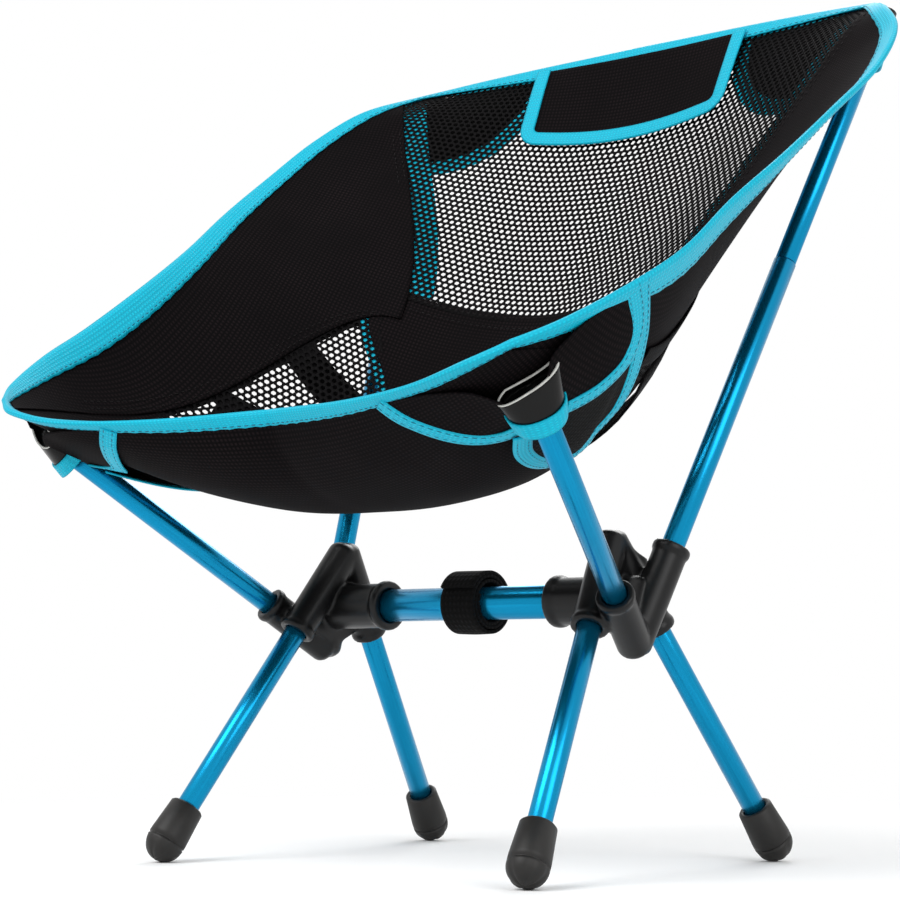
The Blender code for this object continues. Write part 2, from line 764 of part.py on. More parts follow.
def rows_between(v_low, v_high, low_edge, high_edge, rows, columns):
    """Rows of (u, v) shares between two edges that are given as functions of v."""
    return [
        [(float(u), float(v)) for u in np.linspace(low_edge(v), high_edge(v), columns + 1)]
        for v in np.linspace(v_low, v_high, rows + 1)
    ]


def v_share(length):
    """A length along the centre line as a share of it."""
    return length / CENTRE_LENGTH


def u_share(length, v):
    """A length across the sling as a share of its half width."""
    return length / half_width(v)


def rim_margin(v):
    """Share of the half width where the panels meet the binding."""
    return 1.0 - u_share(BINDING_WIDTH + SEAM_GAP, v)


def wing_top():
    """Share of the way up at which the wing has narrowed to its last few millimetres."""
    heights = np.linspace(SEAM_WAIST_V, 1.0 - v_share(BINDING_WIDTH + SEAM_GAP), WING_SEARCH)
    wide = [v for v in heights if rim_margin(v) - side_seam(v) > u_share(WING_POINT, v)]
    return float(wide[-1])


def lumbar_foot(place):
    """Height of the lumbar band's lower edge, a tongue between two lobes of mesh, at a share across."""
    rise = max(abs(place) - LUMBAR_TONGUE, 0.0) / (1.0 - LUMBAR_TONGUE)
    return LUMBAR_LOW_V + (LUMBAR_SIDE_V - LUMBAR_LOW_V) * rise**LUMBAR_TONGUE_POWER


def front_foot_edge(place):
    """Height of the front panel's edge at a share across, clear of the binding where the rim turns."""
    turn = max(abs(place) - FRONT_TURN, 0.0) / (1.0 - FRONT_TURN)
    return PANEL_EDGE_V + v_share(WING_FRONT_TUCK) * turn


PANEL_COLUMNS = np.linspace(-1.0, 1.0, MIDDLE_COLUMNS + 1)
PANEL_EDGE_V = v_share(BINDING_WIDTH + SEAM_GAP)
SEAM_GAP_V = v_share(SEAM_GAP)
# Each middle panel: its lower and upper edge at a share across, its rows and its cloth
MIDDLE_PANELS = {
    "front_panel": (front_foot_edge, lambda c: FRONT_SEAM_V - SEAM_GAP_V / 2, FRONT_ROWS, WOVEN),
    "seat_mesh_panel": (
        lambda c: FRONT_SEAM_V + SEAM_GAP_V / 2,
        lambda c: lumbar_foot(c) - SEAM_GAP_V / 2,
        SEAT_ROWS,
        MESH,
    ),
    "lumbar_band": (
        lambda c: lumbar_foot(c) + SEAM_GAP_V / 2,
        lambda c: LUMBAR_HIGH_V - SEAM_GAP_V / 2,
        LUMBAR_ROWS,
        WOVEN,
    ),
    "back_mesh_panel": (
        lambda c: LUMBAR_HIGH_V + SEAM_GAP_V / 2,
        lambda c: 1.0 - PANEL_EDGE_V,
        BACK_ROWS,
        MESH,
    ),
}


def panel_heights(name, place):
    """Heights of a middle panel's rows at a share of its half width."""
    low, high, rows, _ = MIDDLE_PANELS[name]
    return np.linspace(low(place), high(place), rows + 1)


def middle_panel(name):
    """Panel between the two side seams."""
    columns = [panel_heights(name, place) for place in PANEL_COLUMNS]
    grid = [
        [
            (place * (min(side_seam(v), rim_margin(v)) - u_share(SEAM_GAP / 2, v)), float(v))
            for place, v in zip(PANEL_COLUMNS, heights)
        ]
        for heights in zip(*columns)
    ]
    return cloth(name, grid, MIDDLE_PANELS[name][3])


def wing(side_name):
    """Woven side panel between the rim and the middle panels, with its rows at theirs."""
    side = SIDES[side_name]
    low = v_share(BINDING_WIDTH + WING_FRONT_TUCK)
    high = wing_top()
    seam_heights = [v for name in MIDDLE_PANELS for v in panel_heights(name, 1.0)]
    rows = []
    for v in [low, *[float(v) for v in seam_heights if low < v < high], high]:
        inner = side_seam(v) + u_share(SEAM_GAP / 2, v)
        rows.append([(side * u, v) for u in np.linspace(inner, rim_margin(v), WING_COLUMNS)])
    return cloth(f"wing_{side_name}", rows, WOVEN)


def rim_binding():
    """Tape folded over the whole edge of the sling, as one closed band."""
    across = 16
    along = 26

    def loop(inset):
        v_low = v_share(inset)
        v_high = 1.0 - v_share(inset)

        def side_u(v):
            return 1.0 - u_share(inset, v)

        front = [(float(u) * side_u(v_low), v_low) for u in np.linspace(-1, 1, across + 1)[:-1]]
        right = [(side_u(v), float(v)) for v in np.linspace(v_low, v_high, along + 1)[:-1]]
        top = [(float(u) * side_u(v_high), v_high) for u in np.linspace(1, -1, across + 1)[:-1]]
        left = [(-side_u(v), float(v)) for v in np.linspace(v_high, v_low, along + 1)[:-1]]
        return front + right + top + left

    loops = [loop(0.0), loop(BINDING_WIDTH / 2), loop(BINDING_WIDTH)]
    rows = [list(row) for row in zip(*loops)]
    return cloth("rim_binding", rows, CYAN, BINDING, closed=True)


def label():
    """Bare label panel at the top of the back and the tape round its three free sides."""
    inner_half = LABEL_HALF_WIDTH - LABEL_TAPE_WIDTH
    panel_half = inner_half - SEAM_GAP
    inner_low = LABEL_LOW_V + v_share(LABEL_TAPE_WIDTH)
    rows = rows_between(
        inner_low + v_share(SEAM_GAP),
        LABEL_TOP_V,
        lambda v: -u_share(panel_half, v),
        lambda v: u_share(panel_half, v),
        4,
        12,
    )
    cloth("label_panel", rows, WOVEN, lift=-OVERLAY_LIFT)

    def three_sides(half, low):
        heights = np.linspace(LABEL_TOP_V, low, 5)
        left = [(-u_share(half, v), float(v)) for v in heights]
        foot_edge = [(u_share(half * share, low), low) for share in np.linspace(-1.0, 1.0, 13)[1:-1]]
        right = [(u_share(half, v), float(v)) for v in reversed(heights)]
        return left + foot_edge + right

    rows = zip(three_sides(LABEL_HALF_WIDTH, LABEL_LOW_V), three_sides(inner_half, inner_low))
    cloth("label_binding", [list(pair) for pair in rows], CYAN, LABEL_TAPE, lift=-OVERLAY_LIFT)


def corner_patch(side_name):
    """Quarter-round reinforcing patch behind the mesh at a top corner."""
    side = SIDES[side_name]

    def high(v):
        return side * (min(side_seam(v), rim_margin(v)) - u_share(PATCH_INSET, v))

    def low(v):
        widest = side * side_seam(v) * PATCH_INNER_SHARE
        narrowing = PATCH_NARROWING * (PATCH_TOP_V - v) / (PATCH_TOP_V - PATCH_LOW_V)
        return widest + (high(v) - widest) * narrowing

    rows = rows_between(PATCH_LOW_V, PATCH_TOP_V, low, high, PATCH_ROWS, PATCH_COLUMNS)
    return cloth(f"top_corner_patch_{side_name}", rows, MESH, lift=OVERLAY_LIFT)


def front_flap(side_name):
    """Outer flap of a front corner pocket, under the front edge."""
    side = SIDES[side_name]
    rows = rows_between(
        v_share(BINDING_WIDTH + 2 * SEAM_GAP),
        FRONT_FLAP_TOP_V,
        lambda v: side * (FRONT_FLAP_INNER_U + FRONT_FLAP_SLANT * v),
        lambda v: side * FRONT_FLAP_OUTER_U,
        5,
        4,
    )
    return cloth(f"front_pocket_flap_{side_name}", rows, WOVEN, lift=OVERLAY_LIFT)


def side_flap(side_name):
    """Outer flap of a front corner pocket, under the side edge."""
    side = SIDES[side_name]
    rows = rows_between(
        SIDE_FLAP_LOW_V,
        SIDE_FLAP_TOP_V,
        lambda v: side * (SIDE_FLAP_INNER_U + SIDE_FLAP_SLANT * (v - SIDE_FLAP_LOW_V)),
        lambda v: side * SIDE_FLAP_OUTER_U,
        7,
        4,
    )
    return cloth(f"side_pocket_flap_{side_name}", rows, WOVEN, lift=OVERLAY_LIFT)


def seat_strap(side_name):
    """Webbing under the seat mesh, from a front corner to the far rear one, so that the two straps cross."""
    side = SIDES[side_name]
    lift = OVERLAY_LIFT
    if side > 0:
        lift += CLOTH + SEAM_GAP / 2
    rows = []
    for share in np.linspace(0.0, 1.0, SEAT_STRAP_ROWS + 1):
        u, v = np.array(SEAT_STRAP_FRONT) * (1.0 - share) + np.array(SEAT_STRAP_BACK) * share
        half = v_share(SEAT_STRAP_WIDTH / 2)
        rows.append([(side * u, v + half * place) for place in np.linspace(-1.0, 1.0, SEAT_STRAP_COLUMNS + 1)])
    return cloth(f"seat_strap_{side_name}", rows, WEBBING, lift=lift)


def sling():
    """Every piece of the sewn sling."""
    for name in MIDDLE_PANELS:
        middle_panel(name)
    rim_binding()
    label()
    for side_name in SIDES:
        wing(side_name)
        corner_patch(side_name)
        front_flap(side_name)
        side_flap(side_name)
        seat_strap(side_name)


def floor_cutter():
    """Block below the floor, which flattens the soles of the feet."""
    mesh = bpy.data.meshes.new("floor_cutter")
    shape = bmesh.new()
    bmesh.ops.create_cube(shape, size=1.0)
    bmesh.ops.translate(shape, verts=shape.verts[:], vec=(0, 0, -0.5))
    shape.to_mesh(mesh)
    shape.free()
    return as_cutter(link(bpy.data.objects.new("floor_cutter", mesh), BLACK_PLASTIC, CUTTERS))


def main():
    """Builds the frame, then the sling on it."""
    floor = floor_cutter()
    crossbar()
    binding_strap()
    for side_name in SIDES:
        hub(side_name)
        for end_name in ("front", "rear"):
            leg(side_name, end_name, floor)
            upright(side_name, end_name)
    sling()


main()
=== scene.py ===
"""Looks of an ultralight backpacking chair: a tube frame on moulded hubs that carries a sewn bucket sling.

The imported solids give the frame. Every soft piece, tube, hub and foot is modelled again here in finer detail.
"""

import json
import logging
import math
from collections.abc import Callable, Sequence
from dataclasses import dataclass, field
from enum import Enum

import bmesh
import bpy
import numpy as np
from mathutils import Matrix, Vector
from mathutils.kdtree import KDTree

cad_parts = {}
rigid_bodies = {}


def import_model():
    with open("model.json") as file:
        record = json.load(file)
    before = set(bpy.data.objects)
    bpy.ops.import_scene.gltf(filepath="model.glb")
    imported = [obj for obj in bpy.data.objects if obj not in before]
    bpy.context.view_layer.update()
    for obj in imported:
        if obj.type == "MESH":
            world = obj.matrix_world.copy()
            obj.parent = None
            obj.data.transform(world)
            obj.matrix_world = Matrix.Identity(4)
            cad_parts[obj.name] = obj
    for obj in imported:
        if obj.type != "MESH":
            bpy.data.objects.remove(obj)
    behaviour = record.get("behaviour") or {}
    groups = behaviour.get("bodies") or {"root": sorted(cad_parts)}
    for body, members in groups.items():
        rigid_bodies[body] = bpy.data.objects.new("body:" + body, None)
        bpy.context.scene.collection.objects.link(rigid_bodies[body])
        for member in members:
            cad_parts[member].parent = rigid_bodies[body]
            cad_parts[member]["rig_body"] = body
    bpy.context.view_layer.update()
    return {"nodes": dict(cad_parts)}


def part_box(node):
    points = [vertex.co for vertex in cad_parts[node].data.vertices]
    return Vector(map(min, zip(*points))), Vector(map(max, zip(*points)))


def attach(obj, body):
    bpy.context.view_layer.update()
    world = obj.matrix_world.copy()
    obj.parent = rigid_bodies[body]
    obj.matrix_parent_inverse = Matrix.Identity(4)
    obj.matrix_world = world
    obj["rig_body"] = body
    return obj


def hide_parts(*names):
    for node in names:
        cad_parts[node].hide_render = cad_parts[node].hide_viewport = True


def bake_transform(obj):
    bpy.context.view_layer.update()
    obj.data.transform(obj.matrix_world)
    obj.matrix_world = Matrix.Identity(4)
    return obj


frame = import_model()

LOG = logging.getLogger("backpacking_chair")
MM = 0.001
CLOTH_MAP = "cloth"
TINY = 1e-9
# Heights in metres that agree to this many digits count as level.
LEVEL_DIGITS = 5
# Points of one piece that lie nearer than this become one.
WELD = 0.01 * MM
# The wave texture takes the sine of this many times its scaled place.
WAVE_BASE = 20.0
LINE_STEPS = 400
# A line drawn beside another lies this much further off the sling.
RAISED = 0.75 * MM
# Each fold's rate across, rate along, start and depth, and how fast folds fade at the sides and ends.
CREASE_WAVES = ((9.0, 14.0, 0.0, 0.5), (23.0, -9.0, 1.3, 0.3), (5.0, 31.0, 0.0, 0.2))
CREASE_FADES = (6.0, 10.0)
WHITE = (1.0, 1.0, 1.0, 1.0)
Array = np.ndarray


class Side(Enum):
    """The two halves of the chair, by the sign of X."""

    RIGHT = 1
    LEFT = -1

    @property
    def word(self) -> str:
        """The side's name as the frame's nodes write it."""
        return self.name.lower()


class End(Enum):
    """The front and rear poles of one half."""

    FRONT = "front"
    REAR = "rear"


class Face(Enum):
    """The two faces of the sling: towards the sitter or away."""

    INSIDE = -1
    OUTSIDE = 1


def linear(code: str) -> tuple[float, float, float, float]:
    """Turns an sRGB hex value into linear colour.

    Args:
        code: six hex digits with a leading hash.

    Returns:
        Linear red, green, blue and an alpha of one.
    """
    parts = [int(code[at:at + 2], 16) / 255 for at in (1, 3, 5)]
    red, green, blue = (
        part / 12.92 if part <= 0.04045 else ((part + 0.055) / 1.055) ** 2.4 for part in parts
    )
    return red, green, blue, 1.0


def add_node(
    tree: bpy.types.NodeTree, kind: str, inputs: dict | None = None, **settings: object
) -> bpy.types.Node:
    """Adds a node with its settings and links.

    Args:
        tree: the material's node tree.
        kind: the node's type name.
        inputs: socket name or number to a value, or to an output socket to link from.
        settings: attributes of the node.

    Returns:
        The new node.
    """
    node = tree.nodes.new(kind)
    for key, value in settings.items():
        setattr(node, key, value)
    for key, value in (inputs or {}).items():
        if isinstance(value, bpy.types.NodeSocket):
            tree.links.new(value, node.inputs[key])
        else:
            node.inputs[key].default_value = value
    return node


def per_metre(size_mm: float) -> float:
    """Scale of a pattern that repeats at a size in millimetres on metre coordinates."""
    return 1.0 / (size_mm * MM)


def bands(
    tree: bpy.types.NodeTree,
    cloth: bpy.types.NodeSocket,
    size_mm: float,
    direction: str,
    distortion: float = 0.0,
) -> bpy.types.NodeSocket:
    """Adds the threads that run one way on a piece's flat cloth.

    Args:
        tree: the material's node tree.
        cloth: the flat place on the cloth, in metres.
        size_mm: from the middle of a thread to the middle of the gap beside it.
        direction: the axis that the threads cross, X or Y.
        distortion: how uneven they are.

    Returns:
        The height of the threads, 0 to 1.
    """
    threads = add_node(
        tree,
        "ShaderNodeTexWave",
        {"Vector": cloth, "Scale": per_metre(size_mm) / WAVE_BASE * math.pi, "Distortion": distortion},
        wave_type="BANDS",
        bands_direction=direction,
    )
    return threads.outputs["Fac"]


def worked_out(
    tree: bpy.types.NodeTree, operation: str, *values: float | bpy.types.NodeSocket, clamp: bool = False
) -> bpy.types.NodeSocket:
    """Adds a node that works out one value from others.

    Args:
        tree: the node tree.
        operation: what is done with the values.
        values: numbers, or output sockets to link from.
        clamp: whether the result is kept between 0 and 1.

    Returns:
        The result.
    """
    node = add_node(tree, "ShaderNodeMath", dict(enumerate(values)), operation=operation, use_clamp=clamp)
    return node.outputs[0]


@dataclass(frozen=True)
class Finish:
    """What every material shares: its name, colours and surface."""

    name: str
    colour: str
    dark: str
    roughness: float
    metallic: float = 0.0
    specular: float = 0.5
    bump: float = 0.2
    bump_mm: float = 0.3
    mottle_mm: float = 4.0
    detail: float = 4.0

    def start(self) -> tuple[bpy.types.NodeTree, bpy.types.Node]:
        """Makes the material with its constant sockets set.

        Returns:
            The node tree and its Principled shader.
        """
        material = bpy.data.materials.new(self.name)
        material.use_nodes = True
        tree = material.node_tree
        shader = tree.nodes["Principled BSDF"]
        shader.inputs["Base Color"].default_value = linear(self.colour)
        shader.inputs["Roughness"].default_value = self.roughness
        shader.inputs["Metallic"].default_value = self.metallic
        shader.inputs["Specular IOR Level"].default_value = self.specular
        return tree, shader

    def surface(self, tree: bpy.types.NodeTree, shader: bpy.types.Node) -> None:
        """Adds the finish's own pattern; the plain finish has a fine mottle."""
        place = add_node(tree, "ShaderNodeTexCoord")
        mottle = add_node(
            tree,
            "ShaderNodeTexNoise",
            {"Vector": place.outputs["Object"], "Scale": per_metre(self.mottle_mm), "Detail": self.detail},
        )
        self.vary(tree, shader, mottle.outputs["Fac"], mottle.outputs["Fac"])

    def vary(
        self,
        tree: bpy.types.NodeTree,
        shader: bpy.types.Node,
        shade: bpy.types.NodeSocket,
        height: bpy.types.NodeSocket,
    ) -> None:
        """Mixes the dark colour into the base by one pattern and raises the surface by another.

        Args:
            tree: the material's node tree.
            shader: its Principled shader.
            shade: 0 where the dark colour shows and 1 where the base colour does.
            height: the height of the surface, 0 to 1.
        """
        mix = add_node(
            tree,
            "ShaderNodeMixRGB",
            {"Fac": shade, "Color1": linear(self.dark), "Color2": linear(self.colour)},
        )
        bump = add_node(
            tree,
            "ShaderNodeBump",
            {"Height": height, "Strength": self.bump, "Distance": self.bump_mm * MM},
        )
        tree.links.new(mix.outputs["Color"], shader.inputs["Base Color"])
        tree.links.new(bump.outputs["Normal"], shader.inputs["Normal"])

    def material(self) -> bpy.types.Material:
        """Returns the material, made once and then reused."""
        found = bpy.data.materials.get(self.name)
        if found:
            return found
        tree, shader = self.start()
        self.surface(tree, shader)
        return bpy.data.materials[self.name]


@dataclass(frozen=True)
class AnodisedTube(Finish):
    """Blue anodised drawn aluminium: a clear dyed skin over metal, with faint lengthwise draw marks."""

    draw_mm: float = 0.8
    draw_length_mm: float = 60.0
    detail: float = 3.0

    def surface(self, tree: bpy.types.NodeTree, shader: bpy.types.Node) -> None:
        """Adds draw marks that run along the tube's own UV length."""
        place = add_node(tree, "ShaderNodeUVMap", uv_map=CLOTH_MAP)
        scale = (per_metre(self.draw_length_mm), per_metre(self.draw_mm), 1.0)
        stretch = add_node(tree, "ShaderNodeMapping", {"Vector": place.outputs["UV"], "Scale": scale})
        marks = add_node(
            tree,
            "ShaderNodeTexNoise",
            {"Vector": stretch.outputs["Vector"], "Scale": 1.0, "Detail": self.detail},
        )
        self.vary(tree, shader, marks.outputs["Fac"], marks.outputs["Fac"])


@dataclass(frozen=True)
class Woven(Finish):
    """Plain woven cloth: warp and weft cross over and under, drawn coarser than life so that they show."""

    thread_mm: float = 1.1
    # Size of the slow clouds: random tone and painted fold shade.
    crease_mm: float = 38.0
    detail: float = 6.0

    def surface(self, tree: bpy.types.NodeTree, shader: bpy.types.Node) -> None:
        """Adds crossed threads and slow clouds of darker colour: partly random tone, partly painted shade of
        soft folds.
        """
        cloth = add_node(tree, "ShaderNodeUVMap", uv_map=CLOTH_MAP).outputs["UV"]
        warp, weft = (bands(tree, cloth, self.thread_mm, direction) for direction in ("X", "Y"))
        threads = worked_out(tree, "MULTIPLY", warp, weft)
        # Slow clouds that darken the colour: partly random tone of the cloth, partly painted shade of soft
        # folds.
        tone_and_fold_shade = add_node(
            tree,
            "ShaderNodeTexNoise",
            {"Vector": cloth, "Scale": per_metre(self.crease_mm), "Detail": self.detail},
        )
        shade = worked_out(tree, "MULTIPLY", threads, tone_and_fold_shade.outputs["Fac"])
        self.vary(tree, shader, shade, threads)


@dataclass(frozen=True)
class Grosgrain(Finish):
    """Ribbed binding tape: heavy weft ribs run across the tape, crossed by fine warp."""

    rib_mm: float = 1.0
    warp_mm: float = 0.8
    unevenness: float = 0.6
    least_shade: float = 0.45

    def surface(self, tree: bpy.types.NodeTree, shader: bpy.types.Node) -> None:
        """Adds the ribs across the tape and the warp along it."""
        cloth = add_node(tree, "ShaderNodeUVMap", uv_map=CLOTH_MAP).outputs["UV"]
        ribs = bands(tree, cloth, self.rib_mm, "X", self.unevenness)
        height = worked_out(tree, "MULTIPLY", ribs, bands(tree, cloth, self.warp_mm, "Y"))
        shade = worked_out(tree, "MULTIPLY_ADD", height, 1.0 - self.least_shade, self.least_shade)
        self.vary(tree, shader, shade, height)


BLUE_TUBE = AnodisedTube(
    "anodised_aluminium_drawn", "#0496C4", "#037AA8", 0.24, 0.85, bump=0.05, bump_mm=0.05
)
BARE_METAL = Finish("bare_aluminium_drawn", "#D5D6D8", "#B9BABD", 0.3, 1.0, bump=0.05, bump_mm=0.05)
NYLON = Finish(
    "glass_filled_nylon_moulded", "#0E0E0F", "#080809", 0.36, specular=0.28, bump=0.12, bump_mm=0.1
)
RUBBER = Finish("carbon_rubber_moulded", "#1C1A18", "#100F0E", 0.5, specular=0.38, bump=0.25, bump_mm=0.15)
# The lighter base colour lets the woven finish's painted fold shade show.
POLYESTER = Woven("polyester_plain_weave", "#261E20", "#080708", 0.72, specular=0.03, bump=0.35, bump_mm=0.2)
YARN = Woven("polyester_mesh_knit", "#0F0D0E", "#070607", 0.7, specular=0.06, bump=0.2, bump_mm=0.1)
TAPE = Grosgrain("grosgrain_binding_tape", "#00C3DC", "#008CAE", 0.5, specular=0.22, bump=0.7, bump_mm=0.35)
VINYL = Finish("vinyl_coated_sheet", "#070707", "#030303", 0.24, specular=0.2, bump=0.15, bump_mm=0.3)
CUT_EDGE = Finish("vinyl_cut_edge", "#D9D9D4", "#A9A9A4", 0.6)
LOOP_TAPE = Woven(
    "loop_pile_tape", "#151415", "#070707", 0.85, specular=0.1, thread_mm=1.3, bump=0.6, bump_mm=0.5
)
WEBBING = Woven(
    "woven_webbing", "#0D0B0C", "#060506", 0.7, specular=0.05, thread_mm=1.5, bump=0.4, bump_mm=0.3
)
THREAD = Finish("bonded_thread", "#1A1718", "#0C0A0B", 0.55, specular=0.15)
BLUE_THREAD = Finish("bonded_thread_dark_blue", "#0B5D78", "#084A61", 0.6)
CORD = Finish("braided_elastic_cord", "#D8D7D0", "#B0AFA8", 0.8)


def finished(
    name: str,
    shape: bmesh.types.BMesh,
    finish: Finish,
    body: str | None = "frame",
    replaces: Sequence[str] = (),
) -> bpy.types.Object:
    """Makes an object of a bmesh, dresses it and lets it ride on a body.

    Args:
        name: the piece's name.
        shape: its shape, which is freed.
        finish: its finish.
        body: the body it moves with, or None for a piece left on no body, such as a cord that runs between two.
        replaces: nodes of the frame that it stands for.

    Returns:
        The finished piece.
    """
    mesh = bpy.data.meshes.new(name)
    shape.to_mesh(mesh)
    shape.free()
    mesh.shade_smooth()
    piece = bpy.data.objects.new(name, mesh)
    bpy.context.scene.collection.objects.link(piece)
    mesh.materials.append(finish.material())
    if body:
        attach(piece, body)
    if replaces:
        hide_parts(*replaces)
    LOG.info("%s: %d faces", name, len(mesh.polygons))
    return piece


def thicken(piece: bpy.types.Object, thickness: float) -> bpy.types.Object:
    """Gives a sheet its thickness, half to each side."""
    solid = piece.modifiers.new("thickness", "SOLIDIFY")
    solid.thickness = thickness
    solid.offset = 0.0
    solid.use_rim = True
    return piece


def flat_grid(columns: int, rows: int) -> bmesh.types.BMesh:
    """Flat grid of faces over the unit square, from (0, 0) to (1, 1)."""
    shape = bmesh.new()
    bmesh.ops.create_grid(shape, x_segments=columns, y_segments=rows, size=0.5)
    bmesh.ops.translate(shape, verts=shape.verts[:], vec=(0.5, 0.5, 0.0))
    return shape


def lay(
    shape: bmesh.types.BMesh,
    place: Callable[[Array, Array], Array],
    flat: Callable[[Array, Array], tuple[Array, Array]],
) -> bmesh.types.BMesh:
    """Moves a flat shape onto a surface and keeps its flat place in metres as UV.

    Args:
        shape: the flat shape, in X and Y.
        place: gives the points of the surface for arrays of X and Y.
        flat: gives the flat cloth's coordinates in metres for the same arrays.

    Returns:
        The same shape, in place.
    """
    verts = shape.verts[:]
    x = np.array([vert.co.x for vert in verts])
    y = np.array([vert.co.y for vert in verts])
    points = place(x, y)
    across, along = flat(x, y)
    layer = shape.loops.layers.uv.new(CLOTH_MAP)
    shape.verts.index_update()
    for face in shape.faces:
        for loop in face.loops:
            at = loop.vert.index
            loop[layer].uv = (float(across[at]), float(along[at]))
    for vert, point in zip(verts, points):
        vert.co = point
    return shape


def run_lengths(spots: Array) -> Array:
    """Length along a row of points, from the first to each."""
    return np.concatenate([[0.0], np.cumsum(np.linalg.norm(np.diff(spots, axis=0), axis=1))])


def cloth_area(shape: bmesh.types.BMesh) -> float:
    """Area of all faces of a shape."""
    return sum(face.calc_area() for face in shape.faces)


def smooth_through(points: Array, share: Array) -> Array:
    """Points at shares of the length of a smooth curve through given points.

    Args:
        points: the points that the curve passes, one a row.
        share: shares of the length, 0 to 1.

    Returns:
        One point a row.
    """
    steps = np.linalg.norm(np.diff(points, axis=0), axis=1)
    knots = np.concatenate([[0.0], np.cumsum(steps)]) / steps.sum()
    last = len(points) - 1
    before = np.maximum(np.arange(last + 1) - 1, 0)
    after = np.minimum(np.arange(last + 1) + 1, last)
    slopes = (points[after] - points[before]) / (knots[after] - knots[before])[:, None]
    index = np.clip(np.searchsorted(knots, share, side="right") - 1, 0, last - 1)
    width = (knots[index + 1] - knots[index])[:, None]
    t = (share - knots[index])[:, None] / width
    return (
        points[index] * (2 * t**3 - 3 * t**2 + 1)
        + slopes[index] * width * (t**3 - 2 * t**2 + t)
        + points[index + 1] * (3 * t**2 - 2 * t**3)
        + slopes[index + 1] * width * (t**3 - t**2)
    )


def in_metres(*rows: tuple[float, float, float]) -> Array:
    """Rows of millimetres as an array of metres."""
    return np.array(rows, float) * MM


@dataclass
class SlingShape:
    """The sling's middle surface: u runs -1 to 1 across and v runs 0 to 1 from the front edge to the top."""

    front: Array = field(default_factory=lambda: in_metres(
        (0, -129.5, 206), (60, -144.5, 204.5), (110, -157.5, 206.5), (140, -160, 212.5), (157, -151, 220)
    ))
    side: Array = field(default_factory=lambda: in_metres(
        (157, -151, 220), (172, -133.5, 230.5), (184, -102.5, 249), (187, -73.5, 266), (186, -36.5, 292),
        (190, -0.5, 317), (195, 33.5, 343), (197, 67.5, 368), (190, 97.5, 393), (172, 119.5, 411),
        (151, 148, 422),
    ))
    top: Array = field(default_factory=lambda: in_metres(
        (0, 161.5, 430), (60, 160, 429), (110, 156, 426.5), (151, 148, 422)
    ))
    centre: Array = field(default_factory=lambda: in_metres(
        (0, -129.5, 206), (0, -119.5, 188), (0, -96.5, 172), (0, -58.5, 165.5), (0, -16.5, 174),
        (0, 25.5, 205), (0, 64.5, 254), (0, 108.5, 319), (0, 141.5, 377), (0, 161.5, 430),
    ))
    bucket_share: float = 0.70
    bucket_at: float = 0.27
    bucket_spread: float = 0.20
    bucket_power: float = 3.0
    section_at: tuple[float, ...] = (0.0, 0.3, 0.6, 1.0)
    section_round: tuple[float, ...] = (0.9, 1.0, 0.6, 0.4)
    edge_blend: float = 3.0
    normal_step: float = 0.01
    waist_u: float = 0.44
    waist_v: float = 0.56
    top_rise: float = 0.617
    top_power: float = 1.66
    front_rise: float = 0.47
    front_power: float = 0.45
    front_seam: float = 0.27
    lumbar_low: float = 0.455
    lumbar_side: float = 0.555
    lumbar_high: float = 0.600
    tongue: float = 0.56
    tongue_power: float = 0.8

    @property
    def length(self) -> float:
        """Length of the centre line from the front edge to the top."""
        return float(np.linalg.norm(np.diff(self.centre, axis=0), axis=1).sum())

    def _section(self, half: Array, v: Array) -> Array:
        """Points between the centre line and the side rim."""
        roundness = np.interp(v, self.section_at, self.section_round)
        taut = (np.hypot(half, roundness) - roundness) / (np.hypot(1.0, roundness) - roundness)
        bucket = self.bucket_share * np.exp(-(((v - self.bucket_at) / self.bucket_spread) ** 2))
        share = (1.0 - bucket) * taut + bucket * half**self.bucket_power
        centre = smooth_through(self.centre, v)
        rim = smooth_through(self.side, v)
        points = centre + (rim - centre) * share[:, None]
        points[:, 0] = rim[:, 0] * half
        return points

    def points(self, u: Array, v: Array) -> Array:
        """Points of the surface for arrays of u and v."""
        u, v = np.broadcast_arrays(np.asarray(u, float), np.asarray(v, float))
        u, v = u.ravel(), np.clip(v.ravel(), 0.0, 1.0)
        half = np.clip(np.abs(u), 0.0, 1.0)
        front = smooth_through(self.front, half) - self._section(half, np.zeros_like(v))
        top = smooth_through(self.top, half) - self._section(half, np.ones_like(v))
        points = (
            self._section(half, v)
            + front * ((1.0 - v) ** self.edge_blend)[:, None]
            + top * (v**self.edge_blend)[:, None]
        )
        points[:, 0] *= np.sign(u)
        return points

    def normals(self, u: Array, v: Array) -> Array:
        """Directions out of the hollow, square to the surface."""
        step = self.normal_step
        across = self.points(np.minimum(u + step, 1.0), v) - self.points(np.maximum(u - step, -1.0), v)
        along = self.points(u, np.minimum(v + step, 1.0)) - self.points(u, np.maximum(v - step, 0.0))
        normal = np.cross(along, across)
        return normal / np.linalg.norm(normal, axis=1)[:, None]

    def lifted(self, u: Array, v: Array, lift: Array | float) -> Array:
        """Points a distance off the surface, outwards where it is positive."""
        u, v = np.broadcast_arrays(np.asarray(u, float), np.asarray(v, float))
        lift = np.broadcast_to(np.asarray(lift, float), u.shape)
        return self.points(u, v) + self.normals(u.ravel(), v.ravel()) * lift.ravel()[:, None]

    def half_width(self, v: Array) -> Array:
        """Straight length from the centre line to the rim."""
        v = np.atleast_1d(np.asarray(v, float))
        return np.linalg.norm(self.points(np.ones_like(v), v) - self.points(np.zeros_like(v), v), axis=1)

    def u_share(self, length: float, v: Array) -> Array:
        """A length across the sling as a share of its half width."""
        return length / self.half_width(v)

    def v_share(self, length: float) -> float:
        """A length along the centre line as a share of it."""
        return length / self.length

    def seam(self, v: Array) -> Array:
        """Share of the half width at which a wing meets the middle panels."""
        v = np.asarray(v, float)
        up = np.clip((v - self.waist_v) / (1.0 - self.waist_v), 0.0, 1.0)
        down = np.clip((self.waist_v - v) / self.waist_v, 0.0, 1.0)
        return self.waist_u + self.top_rise * up**self.top_power + self.front_rise * down**self.front_power

